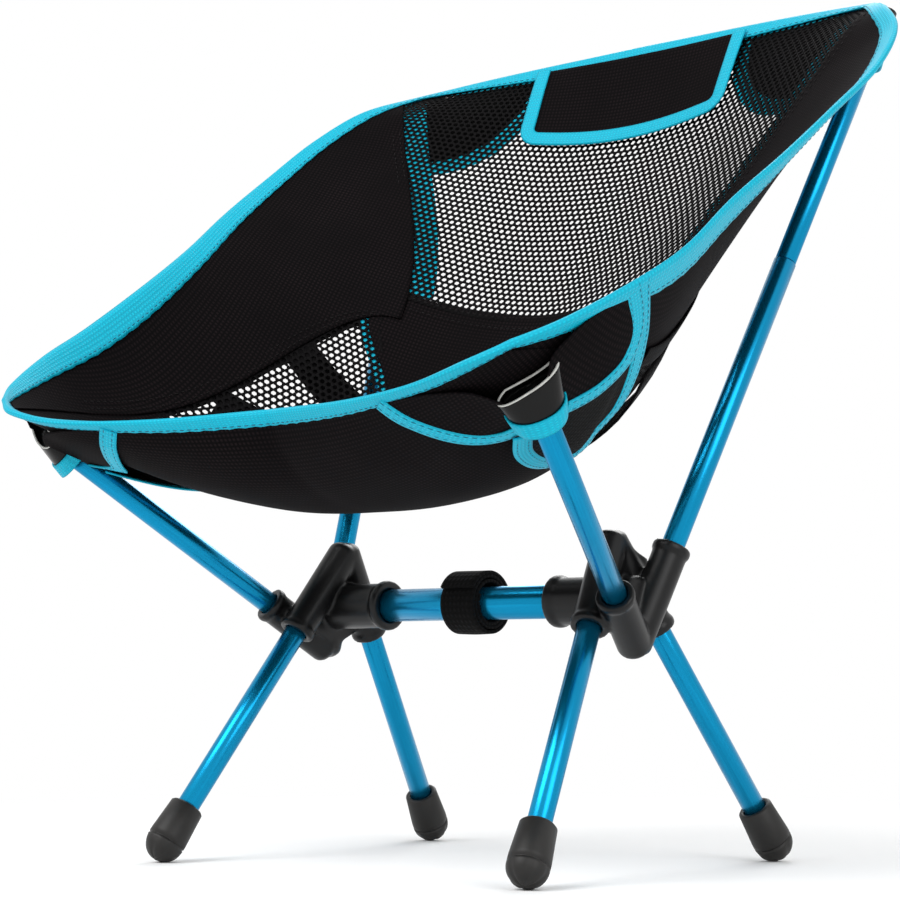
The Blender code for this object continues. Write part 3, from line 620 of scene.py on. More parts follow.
    def lumbar_foot(self, share: Array) -> Array:
        """Height of the lumbar band's lower edge, a tongue between two lobes of mesh.

        Args:
            share: the share of the band's half width, -1 to 1.

        Returns:
            The height as a share of the sling's length.
        """
        rise = np.clip((np.abs(share) - self.tongue) / (1.0 - self.tongue), 0.0, 1.0)
        return self.lumbar_low + (self.lumbar_side - self.lumbar_low) * rise**self.tongue_power

    def flat(self, u: Array, v: Array) -> tuple[Array, Array]:
        """Flat cloth coordinates in metres, with the width taken straight from centre line to rim."""
        return np.asarray(u) * self.half_width(v), np.asarray(v) * self.length


SLING = SlingShape()


@dataclass
class Tubes:
    """The drawn tubes of the frame, turned again finely on the axes that the frame's nodes give."""

    steps: int = 40
    edge: float = 0.35 * MM
    names: tuple[str, ...] = (
        "crossbar_tube",
        *(
            f"{stem}_{side.word}"
            for side in Side
            for stem in (
                "front_leg_tube",
                "rear_leg_tube",
                "front_upright_tube",
                "rear_upright_lower_tube",
                "rear_upright_upper_tube",
            )
        ),
    )

    def build(self) -> None:
        """Makes each tube."""
        for name in self.names:
            self.tube(name)

    def tube(self, name: str) -> bpy.types.Object:
        """Turns one tube on its node's axis.

        Args:
            name: the node's name.

        Returns:
            The new piece.
        """
        start, end, outer, inner = axis_of(name)
        length = (end - start).length
        profile = [
            (inner, self.edge),
            (inner + self.edge, 0.0),
            (outer - self.edge, 0.0),
            (outer, self.edge),
            (outer, length - self.edge),
            (outer - self.edge, length),
            (inner + self.edge, length),
            (inner, length - self.edge),
        ]
        shape = spun(profile, self.steps, closed=True)
        layer = shape.loops.layers.uv.new(CLOTH_MAP)
        for face in shape.faces:
            for loop in face.loops:
                spot = loop.vert.co
                loop[layer].uv = (spot.z, math.atan2(spot.y, spot.x) * outer)
        stand(shape, start, (end - start).normalized())
        body = frame["nodes"][name]["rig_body"]
        return finished(
            f"{name}_drawn", shape, BLUE_TUBE, body, replaces=[name]
        )


def axis_of(name: str) -> tuple[Vector, Vector, float, float]:
    """Ends and radii of a straight round node, worked out from its mesh.

    Args:
        name: the node's name.

    Returns:
        The lower end, the upper end, the outer radius and the inner radius.
    """
    spots = np.array([vert.co for vert in frame["nodes"][name].data.vertices], float)
    centre = (spots.min(axis=0) + spots.max(axis=0)) / 2
    _, _, axes = np.linalg.svd(spots - centre, full_matrices=False)
    along = (spots - centre) @ axes[0]
    across = np.linalg.norm((spots - centre) - np.outer(along, axes[0]), axis=1)
    ends = [Vector(centre + axes[0] * reach) for reach in (along.min(), along.max())]
    ends.sort(key=lambda end: (round(end.z, LEVEL_DIGITS), end.x))
    return ends[0], ends[1], float(across.max()), float(across.min())


def spun(profile: Sequence[tuple[float, float]], steps: int, closed: bool = False) -> bmesh.types.BMesh:
    """Spins a profile of (radius, height) points about Z.

    Args:
        profile: the points.
        steps: facets round the axis.
        closed: whether the last point joins the first.

    Returns:
        The spun shape, closed at its poles.
    """
    shape = bmesh.new()
    verts = [shape.verts.new((radius, 0.0, height)) for radius, height in profile]
    pairs = list(zip(verts, verts[1:])) + ([(verts[-1], verts[0])] if closed else [])
    for first, second in pairs:
        shape.edges.new((first, second))
    bmesh.ops.spin(
        shape,
        geom=shape.verts[:] + shape.edges[:],
        cent=(0, 0, 0),
        axis=(0, 0, 1),
        angle=2 * math.pi,
        steps=steps,
        use_merge=True,
    )
    bmesh.ops.remove_doubles(shape, verts=shape.verts[:], dist=WELD / 10)
    bmesh.ops.recalc_face_normals(shape, faces=shape.faces[:])
    return shape


def stand(shape: bmesh.types.BMesh, base: Vector, direction: Vector) -> None:
    """Stands a shape on a base point with its Z along a direction."""
    turn = direction.to_track_quat("Z", "Y").to_matrix().to_4x4()
    bmesh.ops.transform(shape, matrix=Matrix.Translation(base) @ turn, verts=shape.verts[:])


@dataclass
class Feet:
    """Rubber bullet feet: a plain barrel over a domed tread with moulded ridges."""

    steps: int = 48
    dome_points: int = 13
    radius: float = 9.5 * MM
    length: float = 30.0 * MM
    neck: float = 8.4 * MM
    neck_edge: float = 0.9 * MM
    bore: float = 5.8 * MM
    bore_depth: float = 18.0 * MM
    bore_edge: tuple[float, float] = (0.5 * MM, 0.6 * MM)
    taper_foot: float = 3.4 * MM
    groove: float = 0.7 * MM
    groove_heights: tuple[float, float, float] = (1.4 * MM, 0.9 * MM, 0.3 * MM)
    ridges: int = 6
    ridge: float = 0.45 * MM
    ridge_power: int = 6
    tread_top: float = -0.2 * MM

    def build(self) -> None:
        """Makes the four feet."""
        for side in Side:
            for end in End:
                self.foot(side, end)

    def foot(self, side: Side, end: End) -> bpy.types.Object:
        """Turns one foot on its leg's axis and flattens its sole on the floor."""
        low, high, _, _ = axis_of(f"{end.value}_leg_tube_{side.word}")
        up = (high - low).normalized()
        top = self.length - self.radius
        centre = low - up * (top - self.bore_depth)
        dome = [
            (self.radius * math.cos(turn), self.radius * math.sin(turn))
            for turn in np.linspace(0.0, -math.pi / 2, self.dome_points)
        ]
        dome[-1] = (0.0, -self.radius)
        groove_top, groove_high, groove_low = self.groove_heights
        edge_wide, edge_tall = self.bore_edge
        profile = [
            (0.0, top - self.bore_depth),
            (self.bore, top - self.bore_depth),
            (self.bore, top - edge_tall),
            (self.bore + edge_wide, top),
            (self.neck - self.neck_edge, top),
            (self.neck, top - self.neck_edge),
            (self.radius, self.taper_foot),
            (self.radius, groove_top),
            (self.radius - self.groove, groove_high),
            (self.radius - self.groove, groove_low),
            *dome,
        ]
        shape = spun(profile, self.steps)
        for vert in shape.verts:
            self.press_tread(vert)
        stand(shape, centre, up)
        cut = bmesh.ops.bisect_plane(
            shape,
            geom=shape.verts[:] + shape.edges[:] + shape.faces[:],
            plane_co=(0, 0, 0),
            plane_no=(0, 0, -1),
            clear_outer=True,
        )
        edges = [item for item in cut["geom_cut"] if isinstance(item, bmesh.types.BMEdge)]
        bmesh.ops.contextual_create(shape, geom=edges)
        name = f"{end.value}_foot_{side.word}"
        body = frame["nodes"][name]["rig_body"]
        return finished(f"{name}_moulded", shape, RUBBER, body, replaces=[name])

    def press_tread(self, vert: bmesh.types.BMVert) -> None:
        """Presses channels into the dome along its meridians, which leaves ridges between them."""
        if vert.co.z > self.tread_top:
            return
        turn = math.atan2(vert.co.y, vert.co.x)
        sunk = self.ridge * (0.5 + 0.5 * math.cos(self.ridges * turn)) ** self.ridge_power
        vert.co *= 1.0 - sunk / self.radius


@dataclass
class Hubs:
    """The moulded hubs, with every edge of the solid rounded as a mould leaves it."""

    voxel: float = 0.75 * MM
    smoothing: int = 9
    smooth_share: float = 0.5

    def build(self) -> None:
        """Makes both hubs."""
        for side in Side:
            self.hub(side)

    def hub(self, side: Side) -> bpy.types.Object:
        """Rounds a copy of one hub's solid."""
        name = f"hub_{side.word}"
        shape = bmesh.new()
        shape.from_mesh(frame["nodes"][name].data)
        bmesh.ops.remove_doubles(shape, verts=shape.verts[:], dist=WELD)
        piece = finished(f"{name}_moulded", shape, NYLON, "frame", replaces=[name])
        remesh = piece.modifiers.new("rounding", "REMESH")
        remesh.mode = "VOXEL"
        remesh.voxel_size = self.voxel
        remesh.use_smooth_shade = True
        relax = piece.modifiers.new("fillets", "SMOOTH")
        relax.factor = self.smooth_share
        relax.iterations = self.smoothing
        return piece


@dataclass
class WoundStrap:
    """Hook-and-loop strap wound on the crossbar, which binds the folded poles in the pack."""

    width: float = 20.0 * MM
    thickness: float = 1.6 * MM
    layer_gap: float = 0.5 * MM
    bar_gap: float = 0.3 * MM
    turns: float = 3.0
    start_turn: float = -0.33
    sag: float = 1.2 * MM
    sag_waves: tuple[float, float] = (1.7, 4.0)
    mean_to_bar: float = 1.6
    along: int = 180
    across: int = 10

    def build(self) -> bpy.types.Object:
        """Winds the strap as a spiral."""
        low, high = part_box("binding_strap")
        start, _, bar, _ = axis_of("crossbar_tube")
        middle = (low.x + high.x) / 2
        pitch = self.thickness + self.layer_gap

        def place(x: Array, y: Array) -> Array:
            turn = 2 * math.pi * (self.turns * x + self.start_turn)
            radius = bar + self.bar_gap + self.thickness / 2 + pitch * self.turns * x
            round_wave, across_wave = self.sag_waves
            sag = self.sag * np.sin(turn * round_wave + across_wave * y) * (1 - x)
            return np.stack([
                middle + (y - 0.5) * self.width,
                start.y + radius * np.sin(turn),
                start.z - radius * np.cos(turn) + sag * x,
            ], axis=1)

        def flat(x: Array, y: Array) -> tuple[Array, Array]:
            return x * self.turns * 2 * math.pi * bar * self.mean_to_bar, y * self.width

        shape = lay(flat_grid(self.along, self.across), place, flat)
        strap = finished("binding_strap_wound", shape, LOOP_TAPE, "strap", ["binding_strap"])
        return thicken(strap, self.thickness)


Shares = Callable[[Array, Array], tuple[Array, Array]]
Line = Callable[[Array], tuple[Array, Array, Array]]


@dataclass
class Panel:
    """One cut panel of the sling: shares gives its place on the sling for places on the unit square."""

    name: str
    shares: Shares
    lift: float = 0.0
    thickness: float = 0.7 * MM
    wrinkle: float = 0.0
    columns: int = 40
    rows: int = 60

    def place(self, x: Array, y: Array) -> Array:
        """Points of the panel for places on the unit square."""
        u, v = self.shares(x, y)
        return SLING.lifted(u, v, self.lift + self.wrinkle * creases(u, v))

    def sewn(self, finish: Finish, slot: str, replaces: Sequence[str] = ()) -> bpy.types.Object:
        """Makes the panel as cloth.

        Args:
            finish: the cloth's finish.
            slot: not used.
            replaces: nodes that it stands for.

        Returns:
            The panel.
        """
        shape = flat_grid(self.columns, self.rows)
        lay(shape, self.place, lambda x, y: SLING.flat(*self.shares(x, y)))
        area = cloth_area(shape)
        piece = finished(self.name, shape, finish, "frame", replaces)
        declare_sheet(piece)
        return thicken(piece, self.thickness)


def through(side: Side, *knots: tuple[float, float, float]) -> Line:
    """A smooth line over the sling on one side.

    Args:
        side: which side of the chair.
        knots: the share across, the share up and the lift in millimetres of a few points on it.

    Returns:
        The line, from the first knot to the last.
    """
    spots = np.array([(side.value * u, v, lift * MM) for u, v, lift in knots])

    def line(share: Array) -> tuple[Array, Array, Array]:
        return tuple(smooth_through(spots, share).T)

    return line


def beside(line: Line, offset: float) -> Line:
    """The line at a distance to one side of another, measured on the cloth and raised a little off it.

    Args:
        line: the line to follow.
        offset: the distance, with a sign for the side.

    Returns:
        The new line.
    """
    table = np.linspace(0.0, 1.0, LINE_STEPS)
    u, v, lift = line(table)
    run = np.stack(SLING.flat(u, v), axis=1)
    ahead = np.gradient(run, axis=0)
    ahead /= np.maximum(np.linalg.norm(ahead, axis=1), TINY)[:, None]
    x, y = (run + offset * np.stack([-ahead[:, 1], ahead[:, 0]], axis=1)).T
    rows = (x / SLING.half_width(v), y / SLING.length, lift + np.sign(lift) * RAISED)

    def moved(share: Array) -> tuple[Array, Array, Array]:
        return tuple(np.interp(share, table, row) for row in rows)

    return moved


@dataclass
class ClothBetween:
    """Cloth that spans two lines over the sling: a flap from its taped edge to the rim, or a strap."""

    name: str
    first: Line
    second: Line
    thickness: float = 0.7 * MM
    steps: int = 28
    cut_width: float | None = None

    def shares(self, x: Array, y: Array) -> tuple[Array, Array, Array]:
        """Share across, share up and lift for places on the unit square."""
        near, far = np.stack(self.first(x)), np.stack(self.second(x))
        u, v, lift = near + (far - near) * y
        return u, v, lift

    def sewn(self, finish: Finish, slot: str, replaces: Sequence[str] = ()) -> bpy.types.Object:
        """Makes the cloth.

        Args:
            finish: its finish.
            slot: not used.
            replaces: nodes that it stands for.

        Returns:
            The piece.
        """
        shape = flat_grid(self.steps, self.steps)
        lay(
            shape,
            lambda x, y: SLING.lifted(*self.shares(x, y)),
            lambda x, y: SLING.flat(*self.shares(x, y)[:2]),
        )
        area = cloth_area(shape)
        piece = finished(self.name, shape, finish, "frame", replaces)
        if self.cut_width is None:
            declare_sheet(piece)
        else:
            share = np.linspace(0.0, 1.0, LINE_STEPS // 2)
            middle = SLING.lifted(*self.shares(share, np.full_like(share, 0.5)))
        return thicken(piece, self.thickness)


def creases(u: Array, v: Array) -> Array:
    """Soft folds of the unloaded cloth, -1 to 1, that fade out at the rim."""
    side_fade, end_fade = CREASE_FADES
    fade = np.clip((1.0 - np.abs(u)) * side_fade, 0, 1)
    fade = fade * np.clip(v * end_fade, 0, 1) * np.clip((1 - v) * end_fade, 0, 1)
    waves = (deep * np.sin(across * u + along * v + start) for across, along, start, deep in CREASE_WAVES)
    return sum(waves) * fade


def declare_sheet(piece: bpy.types.Object) -> None:
    """Works out the panel's points about their middle, and keeps nothing of them.

    Args:
        piece: the panel.
    """
    spots = np.array([vert.co for vert in piece.data.vertices])
    spots -= spots.mean(axis=0)


@dataclass
class Netting:
    """Knitted open mesh of the seat and back: round holes packed in rows, with yarn between them."""

    name: str
    low_v: float
    high_v: float
    node: str
    top_edge: Callable[[Array], Array] | None = None
    pitch: float = 4.0 * MM
    hole_share: float = 0.37
    lift: float = 0.7 * MM
    tuck: float = 4.0 * MM
    rim_gap: float = 6.0 * MM
    wrinkle: float = 0.9 * MM
    thickness: float = 0.55 * MM
    long_edge: float = 1.3
    samples: int = 50

    def build(self) -> bpy.types.Object:
        """Knits the panel: a lattice of triangles whose corners are cut away to holes."""
        row = self.pitch * math.sqrt(3) / 2
        heights = np.linspace(self.low_v, self.high_v, self.samples)
        reach = float((self.edge(heights) * SLING.half_width(heights)).max())
        tall = (self.high_v - self.low_v) * SLING.length
        columns = math.ceil(2 * reach / self.pitch) + 1
        rows = math.ceil(tall / row)
        shape = flat_grid(columns, rows)
        for vert in shape.verts:
            at = round(vert.co.y * rows)
            vert.co.x = (vert.co.x * columns - columns / 2 + (at % 2) * 0.5) * self.pitch
            vert.co.y = at * row
        bmesh.ops.triangulate(shape, faces=shape.faces[:])
        self.relink(shape)
        self.trim(shape)
        holes = bmesh.ops.bevel(
            shape,
            geom=shape.verts[:],
            offset=self.pitch * self.hole_share,
            offset_type="OFFSET",
            segments=1,
            profile=0.5,
            affect="VERTICES",
            material=-1,
        )
        bmesh.ops.delete(shape, geom=holes["faces"], context="FACES")
        lay(shape, self.place, lambda x, y: (x, y))
        area = cloth_area(shape)
        piece = finished(self.name, shape, YARN, "frame", [self.node])
        declare_sheet(piece)
        return thicken(piece, self.thickness)

    def relink(self, shape: bmesh.types.BMesh) -> None:
        """Turns the diagonals that lean the wrong way, so that every triangle is about equal-sided."""
        longest = self.pitch * self.long_edge
        wrong = [edge for edge in shape.edges if edge.calc_length() > longest and len(edge.link_faces) == 2]
        bmesh.ops.rotate_edges(shape, edges=wrong, use_ccw=False)

    def trim(self, shape: bmesh.types.BMesh) -> None:
        """Cuts away what lies past the side seams and above the top edge."""
        verts = shape.verts[:]
        x = np.array([vert.co.x for vert in verts])
        v = self.share(np.array([vert.co.y for vert in verts]))
        outside = np.abs(x) > self.edge(v) * SLING.half_width(v)
        if self.top_edge:
            share = x / SLING.half_width(v) / SLING.seam(v)
            outside |= v > self.top_edge(share) + SLING.v_share(self.tuck)
        bmesh.ops.delete(shape, geom=[vert for vert, out in zip(verts, outside) if out], context="VERTS")

    def share(self, y: Array) -> Array:
        """Shares from front to top for flat heights in metres."""
        return np.clip(self.low_v + y / SLING.length, 0.0, 1.0)

    def edge(self, v: Array) -> Array:
        """Half width of the panel as a share, tucked a little under the wing."""
        return np.minimum(SLING.seam(v) + SLING.u_share(self.tuck, v), 1.0 - SLING.u_share(self.rim_gap, v))

    def place(self, x: Array, y: Array) -> Array:
        """Points of the panel for flat places in metres."""
        v = self.share(y)
        u = np.clip(x / SLING.half_width(v), -1, 1)
        return SLING.lifted(u, v, self.lift + self.wrinkle * creases(u, v))


@dataclass
class TapeRun:
    """Binding or seam tape that follows a line on the sling."""

    name: str
    line: Line
    width: float
    thickness: float
    along: int = 120
    across: int = 6
    look_ahead: float = 0.01
    crown_share: float = 0.35

    def build(self, finish: Finish, slot: str, replaces: Sequence[str] = ()) -> bpy.types.Object:
        """Makes the tape as a strip on both sides of its line.

        Args:
            finish: the tape's finish.
            slot: not used.
            replaces: nodes that it stands for.

        Returns:
            The tape.
        """
        shares = np.linspace(0.0, 1.0, LINE_STEPS)
        u, v, lift = self.line(shares)
        spots = SLING.lifted(u, v, lift)
        steps = run_lengths(spots)

        def place(x: Array, y: Array) -> Array:
            at = [np.interp(x, shares, row) for row in (u, v, lift)]
            ahead = [np.interp(np.minimum(x + self.look_ahead, 1), shares, row) for row in (u, v)]
            behind = [np.interp(np.maximum(x - self.look_ahead, 0), shares, row) for row in (u, v)]
            middle = SLING.lifted(*at)
            normal = SLING.normals(at[0], at[1])
            sideways = np.cross(normal, SLING.points(*ahead) - SLING.points(*behind))
            sideways /= np.linalg.norm(sideways, axis=1)[:, None]
            crown = np.sign(at[2]) * self.thickness * self.crown_share * (1 - (2 * y - 1) ** 2)
            return middle + sideways * ((y - 0.5) * self.width)[:, None] + normal * crown[:, None]

        def flat(x: Array, y: Array) -> tuple[Array, Array]:
            return np.interp(x, shares, steps), y * self.width

        shape = lay(flat_grid(self.along, self.across), place, flat)
        area = cloth_area(shape)
        piece = finished(self.name, shape, finish, "frame", replaces)
        return thicken(piece, self.thickness)


@dataclass
class RimBinding:
    """Tape folded over the whole edge of the sling and sewn down through both faces."""

    width: float = 11.0 * MM
    thickness: float = 0.5 * MM
    off_centre: float = 0.36
    front_blend: float = 12.0
    edge_half: float = 0.9 * MM
    crown: float = 1.6 * MM
    fold_power: float = 1.15
    swell_rate: float = 2.2
    puckers: int = 150
    pucker: float = 0.25 * MM
    edges: int = 4
    per_edge: tuple[int, int] = (90, 150)
    across: int = 14

    def loop(self, share: Array, inset: Array) -> tuple[Array, Array]:
        """Shares of the sling at an inset from its rim, for shares of the way round."""
        side_at, quarter = np.divmod(np.clip(share, 0, 1 - TINY) * self.edges, 1.0)
        v_low = inset / SLING.length
        v_high = 1.0 - v_low
        v = np.select(
            [side_at == 0, side_at == 1, side_at == 2],
            [v_low, v_low + (v_high - v_low) * quarter, v_high],
            v_high - (v_high - v_low) * quarter,
        )
        half = 1.0 - inset / SLING.half_width(v)
        u = np.select(
            [side_at == 0, side_at == 1, side_at == 2],
            [(2 * quarter - 1) * half, half, (1 - 2 * quarter) * half],
            -half,
        )
        return u, v

    def reach(self, share: Array, face: Array) -> Array:
        """How far in the tape reaches: along the front it is folded off centre, with less of it outside."""
        front = 1.0 / self.edges
        to_front = np.clip((front - np.abs(share - front / 2) * 2) * self.front_blend, 0, 1)
        return self.width * (1 - np.sign(face) * self.off_centre * to_front)

    def place(self, x: Array, y: Array) -> Array:
        """Points of the folded tape: x runs round the rim and y across the tape, over the fold."""
        face = 2 * y - 1
        fold = np.abs(face)
        pucker = self.pucker * np.sin(x * 2 * math.pi * self.puckers) * fold**3
        inset = self.reach(x, face) * fold**self.fold_power + pucker
        swell = np.sqrt(np.clip(1 - (1 - np.minimum(fold * self.swell_rate, 1)) ** 2, 0, 1))
        lift = np.sign(face) * (self.edge_half + (self.crown - self.edge_half) * (1 - fold)) * swell
        u, v = self.loop(x, inset)
        return SLING.lifted(u, v, lift)

    def build(self) -> bpy.types.Object:
        """Sews the binding round the rim."""
        shares = np.linspace(0.0, 1.0, 3 * LINE_STEPS)
        spots = SLING.points(*self.loop(shares, np.full_like(shares, self.width / 2)))
        steps = run_lengths(spots)
        shape = flat_grid(2 * sum(self.per_edge), self.across)
        lay(shape, self.place, lambda x, y: (np.interp(x, shares, steps), y * 2 * self.width))
        bmesh.ops.remove_doubles(shape, verts=shape.verts[:], dist=2 * WELD)
        area = cloth_area(shape)
        piece = finished("rim_binding_folded", shape, TAPE, "frame", ["rim_binding"])
        return thicken(piece, self.thickness)


@dataclass
class Stitches:
    """A line of sewn thread: short raised stitches with a gap between them."""

    name: str
    line: Line
    finish: Finish = THREAD
    stitch: float = 2.6 * MM
    gap: float = 1.2 * MM
    thread: float = 0.5 * MM
    flatness: float = 0.7
    samples: int = 500

    def build(self) -> bpy.types.Object:
        """Lays one small flattened bead of thread for each stitch."""
        shares = np.linspace(0.0, 1.0, self.samples)
        spots = SLING.lifted(*self.line(shares))
        normals = SLING.normals(*self.line(shares)[:2])
        steps = run_lengths(spots)
        count = max(1, int(steps[-1] / (self.stitch + self.gap)))
        size = Matrix.Diagonal((self.stitch, self.thread, self.thread * self.flatness, 1.0))
        shape = bmesh.new()
        for at in range(count):
            begin = at * (self.stitch + self.gap)
            ends = [
                Vector([np.interp(begin + reach, steps, spots[:, axis]) for axis in range(3)])
                for reach in (0.0, self.stitch)
            ]
            index = int(np.searchsorted(steps, begin).clip(0, len(steps) - 1))
            up = Vector(normals[index])
            run = (ends[1] - ends[0]).normalized()
            turn = Matrix((run, up.cross(run).normalized(), up)).transposed().to_4x4()
            middle = Matrix.Translation((ends[0] + ends[1]) / 2)
            bmesh.ops.create_icosphere(shape, subdivisions=1, radius=0.5, matrix=middle @ turn @ size)
        return finished(self.name, shape, self.finish, "frame")


@dataclass
class Sling:
    """The sewn sling: wings, middle panels, netting, bindings, label, corner patches and straps."""

    under_binding: float = 4.0 * MM
    wing_front: float = 0.035
    wing_top: float = 0.985
    wing_samples: int = 2000
    panel_lift: float = 0.75 * MM
    panel_wrinkle: float = 0.5 * MM
    soft_wrinkle: float = 0.9 * MM
    mesh_overlap: float = 0.01
    over: float = 2.1 * MM
    tape_lift: float = 1.5 * MM
    tape_thickness: float = 0.6 * MM
    back_tape: float = 14.2 * MM
    back_tape_in: float = 7.0 * MM
    tongue_tape: float = 7.6 * MM
    tongue_tape_down: float = 3.2 * MM
    seat_tape: float = 10.2 * MM
    seat_tape_out: float = 2.5 * MM
    label_half: float = 69.0 * MM
    label_low: float = 0.862
    label_top: float = 0.986
    label_short: float = 0.01
    label_tape: float = 8.25 * MM
    label_tape_thickness: float = 0.8 * MM
    label_tape_lift: float = 0.9 * MM
    label_bend: float = 7.0 * MM
    bend_points: int = 9
    patch_radius: float = 84.0 * MM
    patch_angles: tuple[float, float] = (-2.0, -72.0)
    patch_corner: float = 0.97
    patch_core: float = 0.03
    patch_top: float = 0.99
    patch_lift: float = 0.4 * MM
    patch_tape: float = 10.0 * MM
    strap_width: float = 20.0 * MM
    strap_thickness: float = 1.2 * MM
    strap_front: tuple[float, float] = (0.735, 0.335)
    strap_back: tuple[float, float] = (-0.66, 0.465)
    strap_slack: float = 0.21
    strap_lift: float = 0.6 * MM
    strap_rise: float = 0.9 * MM
    strap_cross: float = 1.6 * MM
    strap_end_rate: float = 12.0
    wing_stitches: tuple[float, float] = (0.18, 0.95)
    wing_rows: tuple[float, float] = (2.5 * MM, 7.0 * MM)
    wing_thread: float = 0.55 * MM
    lumbar_rows: tuple[float, float] = (0.006, 0.022)
    lumbar_reach: float = 0.97
    lumbar_thread: float = 1.1 * MM
    rim_row: float = 0.86
    rim_thread: float = 1.35 * MM

    def build(self) -> None:
        """Sews every piece."""
        for side in Side:
            self.wing(side)
            self.patch(side)
            self.seat_strap(side)
            self.seam_tape(side)
        self.middle()
        self.label()
        RimBinding().build()
        self.stitching()

    def rim_u(self, v: Array) -> Array:
        """Share across at which a panel ends, under the binding."""
        return 1.0 - SLING.u_share(self.under_binding, v)

    def behind(self, u: Array, v: Array) -> Array:
        """Lift of a tape that lies against the rear of the mesh."""
        return self.tape_lift + self.soft_wrinkle * creases(u, v)

    def wing(self, side: Side) -> None:
        """Sews one woven wing."""
        heights = np.linspace(self.wing_front, self.wing_top, self.wing_samples)
        seam = np.stack(SLING.flat(np.minimum(SLING.seam(heights), self.rim_u(heights)), heights), axis=1)
        steps = run_lengths(seam)

        def shares(x: Array, y: Array) -> tuple[Array, Array]:
            v = np.interp(y * steps[-1], steps, heights)
            inner = np.minimum(SLING.seam(v), self.rim_u(v))
            return side.value * (inner + (self.rim_u(v) - inner) * x), v

        name = f"wing_{side.word}"
        panel = Panel(f"{name}_sewn", shares, wrinkle=self.soft_wrinkle, columns=36, rows=120)
        panel.sewn(POLYESTER, "black_woven_polyester", [name])

    def middle(self) -> None:
        """Sews the panels between the wings."""

        def band(low: Callable[[Array], Array], high: Callable[[Array], Array]) -> Shares:
            def shares(x: Array, y: Array) -> tuple[Array, Array]:
                share = 2 * x - 1
                v = low(share) + (high(share) - low(share)) * y
                side = SLING.seam(v) + SLING.u_share(self.under_binding, v)
                return share * np.minimum(side, self.rim_u(v)), v

            return shares

        def level(v_at: float) -> Callable[[Array], Array]:
            return lambda share: np.full_like(share, v_at)

        front = band(level(SLING.v_share(self.under_binding)), level(SLING.front_seam))
        lumbar = band(SLING.lumbar_foot, level(SLING.lumbar_high))
        for name, shares, columns, rows in (("front_panel", front, 70, 36), ("lumbar_band", lumbar, 90, 24)):
            panel = Panel(f"{name}_sewn", shares, self.panel_lift, columns=columns, rows=rows)
            panel.wrinkle = self.panel_wrinkle
            panel.sewn(POLYESTER, "black_woven_polyester", [name])
        seat_low, back_low = (seam - self.mesh_overlap for seam in (SLING.front_seam, SLING.lumbar_high))
        Netting("seat_mesh_knit", seat_low, SLING.lumbar_side, "seat_mesh_panel", SLING.lumbar_foot).build()
        Netting("back_mesh_knit", back_low, self.wing_top, "back_mesh_panel").build()

    def seam_tape(self, side: Side) -> None:
        """Sews the tapes over the seams on the rear face; the two blue ones show through the mesh."""

        def back_seam(share: Array) -> tuple[Array, Array, Array]:
            v = SLING.lumbar_high + (self.wing_top - SLING.lumbar_high) * share
            u = side.value * (SLING.seam(v) - SLING.u_share(self.back_tape_in, v))
            return u, v, self.behind(u, v)

        def tongue_seam(share: Array) -> tuple[Array, Array, Array]:
            v = SLING.lumbar_foot(share) - SLING.v_share(self.tongue_tape_down)
            u = side.value * share * SLING.seam(v)
            return u, v, self.behind(u, v)

        def seat_seam(share: Array) -> tuple[Array, Array, Array]:
            v = SLING.front_seam + (SLING.lumbar_side - SLING.front_seam) * share
            u = side.value * (SLING.seam(v) + SLING.u_share(self.seat_tape_out, v))
            return u, v, self.behind(u, v)

        tapes = (
            ("back_seam_tape", back_seam, self.back_tape, TAPE, "cyan_binding_tape"),
            ("tongue_seam_tape", tongue_seam, self.tongue_tape, TAPE, "cyan_binding_tape"),
            ("seat_seam_tape", seat_seam, self.seat_tape, WEBBING, "black_webbing"),
        )
        for stem, line, width, finish, slot in tapes:
            TapeRun(f"{stem}_{side.word}", line, width, self.tape_thickness).build(finish, slot)

    def patch(self, side: Side) -> None:
        """Sews the quarter-round patch behind the mesh at a top corner, with its edge taped."""
        corner_x = float(SLING.half_width(self.wing_top)[0]) * self.patch_corner
        low, high = (math.radians(angle) for angle in self.patch_angles)

        def at(radius: Array, turn: Array) -> tuple[Array, Array]:
            v = np.clip(self.wing_top + radius * np.sin(turn) / SLING.length, 0.0, self.patch_top)
            u = (corner_x - radius * np.cos(turn)) / SLING.half_width(v)
            return side.value * np.minimum(u, np.minimum(SLING.seam(v), self.rim_u(v))), v

        def shares(x: Array, y: Array) -> tuple[Array, Array]:
            radius = self.patch_radius * (self.patch_core + (1.0 - self.patch_core) * x)
            return at(radius, low + (high - low) * y)

        def edge(share: Array) -> tuple[Array, Array, Array]:
            u, v = at(np.full_like(share, self.patch_radius), low + (high - low) * share)
            return u, v, self.behind(u, v)

        name = f"top_corner_patch_{side.word}"
        panel = Panel(f"{name}_sewn", shares, self.over + self.patch_lift, columns=24, rows=24)
        panel.wrinkle = self.soft_wrinkle
        panel.sewn(LOOP_TAPE, "black_mesh", [name])
        tape = TapeRun(f"top_corner_tape_{side.word}", edge, self.patch_tape, self.tape_thickness)
        tape.build(TAPE, "cyan_binding_tape")

    def label(self) -> None:
        """Sews the bare label panel and the tape round its three free sides."""
        inner = self.label_half - self.label_tape / 2
        foot = self.label_low + SLING.v_share(self.label_tape / 2)

        def shares(x: Array, y: Array) -> tuple[Array, Array]:
            v = foot + (self.label_top - self.label_low - self.label_short) * y
            return (2 * x - 1) * SLING.u_share(inner, v), v

